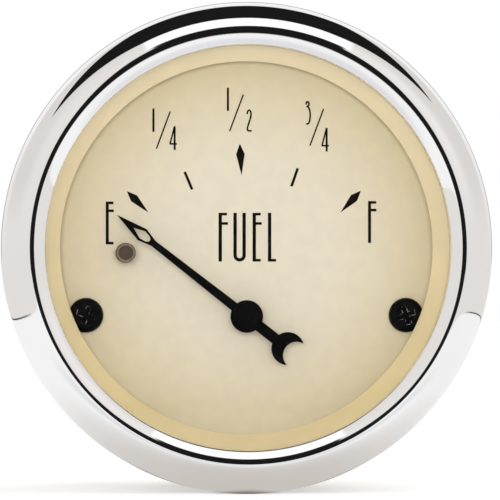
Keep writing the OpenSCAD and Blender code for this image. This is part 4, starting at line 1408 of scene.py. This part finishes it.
@dataclass
class MovementDress(Dress):
    """The frame, the can, the bobbins and windings, and the bearings."""

    zinc: Finish = Finish(
        "movement_zinc", (0.66, 0.66, 0.64, 1.0), Making.PLATED, metallic=0.9, roughness=0.34, size=1.2,
        relief=0.006, uneven=0.06, on=("movement_frame", "movement_screws"),
    )
    can: Finish = Finish(
        "can_plate", (0.64, 0.64, 0.62, 1.0), Making.TURNED, metallic=0.9, roughness=0.36,
        relief=0.006, axis=PIVOT, on=("shield_can",),
    )
    bobbin: Finish = Finish(
        "bobbin_plastic", (0.8, 0.77, 0.68, 1.0), Making.MOULDED, size=0.3, relief=0.006, uneven=0.05,
        wear_and_edge_light=0.1, on=("bobbin_front", "bobbin_rear"),
    )
    wire: Finish = Finish(
        "copper_wire", (0.72, 0.32, 0.14, 1.0), Making.WOUND, metallic=0.85, roughness=0.3, size=0.14,
        relief=0.05, uneven=0.3, wear_and_edge_light=0.2, stretch=(1.0, 1.0, 0.06), coat=0.4,
        on=("inner_coil", "outer_coil"),
    )
    lead: Finish = Finish(
        "lead_wire", (0.72, 0.34, 0.16, 1.0), Making.DRAWN, metallic=0.9, roughness=0.3, size=0.1,
        relief=0.004, coat=0.4, on=("coil_leads",),
    )
    brass: Finish = Finish(
        "bearing_brass", (0.76, 0.6, 0.3, 1.0), Making.TURNED, metallic=1.0, roughness=0.28, size=0.1,
        relief=0.003, axis=PIVOT, on=("front_bearing",),
    )
    jewel: Finish = Finish(
        "bearing_jewel", (0.45, 0.03, 0.07, 1.0), Making.TURNED, roughness=0.12, size=0.2, relief=0.001,
        coat=0.6, axis=PIVOT, on=("rear_bearing",),
    )
    spacer: Finish = Finish(
        "spacer_aluminium", (0.78, 0.78, 0.79, 1.0), Making.TURNED, metallic=1.0, roughness=0.36,
        size=0.14, relief=0.006, axis=(STUD_X, 0.0), on=("frame_spacers",),
    )


# ---- housing, terminals and lamp


@dataclass(frozen=True)
class Fasteners:
    """A row of number 8 studs and hexagon nuts of one metal, built in place of CAD nodes.

    at holds their axes on the dial plan, head the outline of a stud's head as (radius, height). It
    stands on seat. The stud is plain from there to back, where its fixed nut is, and threaded from
    there to end. chamfer and chamfer_angle say how far out, as a share of half the flats, and how
    steeply a nut's corners are cut, and ease is the chamfer of its hole.
    """

    at: tuple[Place, ...]
    slot: str
    finish: Finish
    head: tuple[Place, ...]
    seat: float
    back: float
    end: float
    stud_r: float = 2.08
    fixed_r: float = 1.78
    pitch: float = 0.794
    depth: float = 0.3
    fade: float = 0.8
    steps: int = 40
    flats: float = 8.7
    chamfer: float = 0.97
    chamfer_angle: float = 30.0
    ease: float = 0.25
    nut_steps: int = 72

    def cut(self, shape: Shape, at: Place) -> None:
        """Adds a stud's thread, a helix of four lines to the pitch that fades out at both ends.

        Args:
            shape: The shape that the thread joins.
            at: The stud's axis on the dial plan.
        """
        low, high, lines = self.end, self.back, 4
        rings = []
        for j in range(int(round((high - low) / self.pitch * lines)) + lines + 1):
            crest = j % lines in (1, 2)
            ring = []
            for k in range(self.steps + 1):
                out = low + self.pitch * (j / lines + k / self.steps - 1.0)
                deep = 1.0 - min(out - low, high - out) / (self.fade * self.pitch)
                deep = max(0.0, min(1.0, deep)) if crest else 1.0
                place = polar(at, self.stud_r - self.depth * deep, 360 * k / self.steps)
                ring.append(spot(*place, max(low, min(high, out))))
            rings.append(ring)
        shape.skin(rings, joined=False)
        for out, order in ((low, -1), (high, 1)):
            shape.disc(circle(at, self.stud_r - self.depth, out, self.steps), order)

    def nut(self, shape: Shape, at: Place, low: float, high: float) -> None:
        """Adds a hexagon nut whose corners are chamfered at both ends.

        Args:
            shape: The shape that the nut joins.
            at: Its axis on the dial plan.
            low: Its lower face.
            high: Its upper face.
        """
        flat, side = self.flats / 2, 60.0
        inner, eased, chamfer_r = self.fixed_r, self.fixed_r + self.ease, flat * self.chamfer
        low_rim, high_rim = [], []
        for k in range(self.nut_steps):
            clock = 360 * k / self.nut_steps
            reach = flat / math.cos(math.radians((clock + side / 2) % side - side / 2))
            fall = max(0.0, reach - chamfer_r) * math.tan(math.radians(self.chamfer_angle))
            place = polar(at, reach, clock)
            low_rim.append(spot(*place, low + fall))
            high_rim.append(spot(*place, high - fall))
        below = ((inner, low + self.ease), (eased, low), (chamfer_r, low))
        above = ((chamfer_r, high), (eased, high), (inner, high - self.ease))
        rings = [circle(at, radius, out, self.nut_steps) for radius, out in below]
        rings += [low_rim, high_rim]
        rings += [circle(at, radius, out, self.nut_steps) for radius, out in above]
        shape.skin(rings, closed=True)

    def stand_in(self, shape: Shape, name: str, node: str, sharp: float) -> None:
        """Puts a shape in the place of a CAD node.

        Args:
            shape: The shape.
            name: The new piece's name.
            node: The CAD node.
            sharp: Edges that turn by more degrees than this are shaded sharp.
        """
        piece = shape.build(name, "case", self.slot, sharp=sharp)
        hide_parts(node)
        FINISHES.lay(piece, self.finish)

    def studs(self, name: str, node: str) -> None:
        """Builds the studs, each with its head, its plain shank and its thread.

        Args:
            name: The new piece's name.
            node: The CAD node that it stands for.
        """
        shank = [(self.fixed_r, self.back), (self.fixed_r, self.seat)]
        head = [(radius, self.seat + height) for radius, height in self.head]
        shape = Shape()
        for at in self.at:
            shape.turned(shank + head, at)
            self.cut(shape, at)
        self.stand_in(shape, name, node, sharp=50.0)

    def nuts(self, name: str, node: str, low: float, high: float) -> None:
        """Builds one nut on each stud.

        Args:
            name: The new piece's name.
            node: The CAD node that it stands for.
            low: The nuts' lower faces.
            high: Their upper faces.
        """
        shape = Shape()
        for at in self.at:
            self.nut(shape, at, low, high)
        self.stand_in(shape, name, node, sharp=20.0)


@dataclass
class HousingDress(Dress):
    """The dull plated housing, its studs and nuts, and the clamp that holds it in a panel."""

    stud_end: float = -52.0
    nut_back: float = -33.6
    washer_back: float = -30.6
    frame_front: float = -4.9
    rivet: tuple[Place, ...] = ((2.98, 0.0), (2.98, 0.36), (2.4436, 0.68), (1.49, 0.8))
    zinc: Finish = Finish(
        "housing_zinc", (0.6, 0.59, 0.54, 1.0), Making.PLATED, metallic=0.85, roughness=0.42, size=1.6,
        relief=0.006, uneven=0.06, wear_and_edge_light=0.35, worn_and_edge_light=(0.78, 0.77, 0.74, 1.0), dust=0.12, on=("housing",),
    )
    bright_zinc: Finish = Finish(
        "fastener_zinc", (0.68, 0.68, 0.66, 1.0), Making.PLATED, metallic=0.95, roughness=0.3, size=0.9,
        relief=0.004, uneven=0.05,
    )
    clamp_zinc: Finish = Finish(
        "clamp_zinc", (0.66, 0.66, 0.64, 1.0), Making.PLATED, metallic=0.9, roughness=0.36, size=1.3,
        relief=0.006, uneven=0.055, wear_and_edge_light=0.45, worn_and_edge_light=(0.82, 0.82, 0.8, 1.0), dust=0.08,
        on=("clamp_bracket",),
    )
    steel: Finish = Finish(
        "washer_steel", (0.74, 0.74, 0.75, 1.0), Making.DRAWN, metallic=1.0, roughness=0.27, size=0.15,
        relief=0.004, uneven=0.1, on=("clamp_washers", "housing_washers"),
    )
    left_brass: Finish = Finish(
        "left_nut_brass", (0.78, 0.6, 0.28, 1.0), Making.TURNED, metallic=1.0, roughness=0.25, size=0.12,
        relief=0.004, wear_and_edge_light=0.4, axis=(-STUD_X, 0.0), on=("left_thumb_nut",),
    )
    right_brass: Finish = replace(
        left_brass, name="right_nut_brass", axis=(STUD_X, 0.0), on=("right_thumb_nut",),
    )

    def build(self) -> None:
        """Builds the fastenings and dresses the housing and the clamp."""
        row = Fasteners(
            ((-STUD_X, 0.0), (STUD_X, 0.0)), "zinc_plate", self.bright_zinc, self.rivet,
            seat=self.frame_front, back=self.nut_back, end=self.stud_end,
        )
        row.studs("threaded_studs", "mounting_studs")
        row.nuts("chamfered_housing_nuts", "housing_nuts", self.nut_back, self.washer_back)
        self.dress()


@dataclass
class TerminalDress(Dress):
    """The three brass terminals on their board, with the resistor across them."""

    xs: tuple[float, float, float] = (-11.0, 0.0, 11.0)
    up: float = -15.492
    head: tuple[Place, ...] = ((3.4, 0.0), (3.4, 0.72), (2.9, 1.2))
    strip_out: float = -27.2
    seat_out: float = -31.0
    base_back: float = -34.0
    washer_back: float = -34.8
    nut_back: float = -37.8
    end_out: float = -45.0
    brass: Finish = Finish(
        "terminal_brass", (0.78, 0.6, 0.28, 1.0), Making.DRAWN, metallic=1.0, roughness=0.26, size=0.14,
        relief=0.003, uneven=0.1,
    )
    strip: Finish = Finish(
        "strip_brass", (0.76, 0.6, 0.3, 1.0), Making.DRAWN, metallic=1.0, roughness=0.3, size=0.12,
        relief=0.004, stretch=(1.0, 1.0, 0.05), on=("contact_strips",),
    )
    steel: Finish = Finish(
        "terminal_washer_steel", (0.74, 0.74, 0.75, 1.0), Making.DRAWN, metallic=1.0, roughness=0.25,
        size=0.12, relief=0.004, wear_and_edge_light=0.35, on=("terminal_lock_washers", "ground_washer"),
    )
    board: Finish = Finish(
        "board_laminate", (0.33, 0.19, 0.09, 1.0), Making.LAYERED, roughness=0.45, size=0.22, uneven=0.2,
        wear_and_edge_light=0.4, worn_and_edge_light=(0.5, 0.34, 0.2, 1.0), stretch=(0.12, 1.0, 1.0), on=("terminal_board",),
    )
    fibre: Finish = Finish(
        "bush_fibre", (0.3, 0.11, 0.06, 1.0), Making.LAYERED, roughness=0.6, size=0.16, relief=0.012,
        uneven=0.22, wear_and_edge_light=0.4, worn_and_edge_light=(0.46, 0.24, 0.16, 1.0), stretch=(0.3, 1.0, 0.3),
        on=("insulating_bushes",),
    )
    ceramic: Finish = Finish(
        "resistor_ceramic", (0.62, 0.5, 0.36, 1.0), Making.SINTERED, size=0.1, relief=0.006, uneven=0.08,
        coat=0.2, on=("calibration_resistor",),
    )

    def build(self) -> None:
        """Builds the screws and nuts and dresses the rest of the terminals."""
        row = Fasteners(
            tuple((x, self.up) for x in self.xs), "brass", self.brass, self.head,
            seat=self.strip_out, back=self.nut_back, end=self.end_out,
        )
        row.studs("threaded_terminals", "terminal_studs")
        row.nuts("chamfered_base_nuts", "terminal_base_nuts", self.base_back, self.seat_out)
        row.nuts("chamfered_terminal_nuts", "terminal_nuts", self.nut_back, self.washer_back)
        self.dress()


@dataclass
class LampDress(Dress):
    """The lamp holder that pushes into the housing's back, its tabs and its wedge bulb."""

    holder: Finish = Finish(
        "holder_plastic", srgb(38, 38, 39), Making.MOULDED, size=0.3, relief=0.012, wear_and_edge_light=0.4,
        worn_and_edge_light=srgb(88, 88, 88), dust=0.12, on=("lamp_holder",),
    )
    brass: Finish = Finish(
        "tab_brass", (0.78, 0.62, 0.32, 1.0), Making.DRAWN, metallic=1.0, roughness=0.3, size=0.14,
        relief=0.004, on=("lamp_tabs",),
    )
    glass: ClearFinish = ClearFinish("bulb_glass", tint=(0.98, 0.99, 1.0, 1.0), on=("lamp_bulb",))
    filament: Finish = Finish(
        "filament_steel", (0.7, 0.7, 0.72, 1.0), Making.DRAWN, metallic=1.0, roughness=0.3, size=0.08,
        relief=0.003, on=("lamp_filament",),
    )


def main() -> None:
    """Builds the studio and the gauge, piece by piece."""
    logging.basicConfig(level=logging.INFO, format="%(name)s: %(message)s")
    for part in (
        Studio(), BezelDress(), DialDress(), PointerDress(), MovementDress(), HousingDress(),
        TerminalDress(), LampDress(),
    ):
        part.build()
        LOG.info("finished %s", type(part).__name__)


if __name__ == "__main__":
    main()
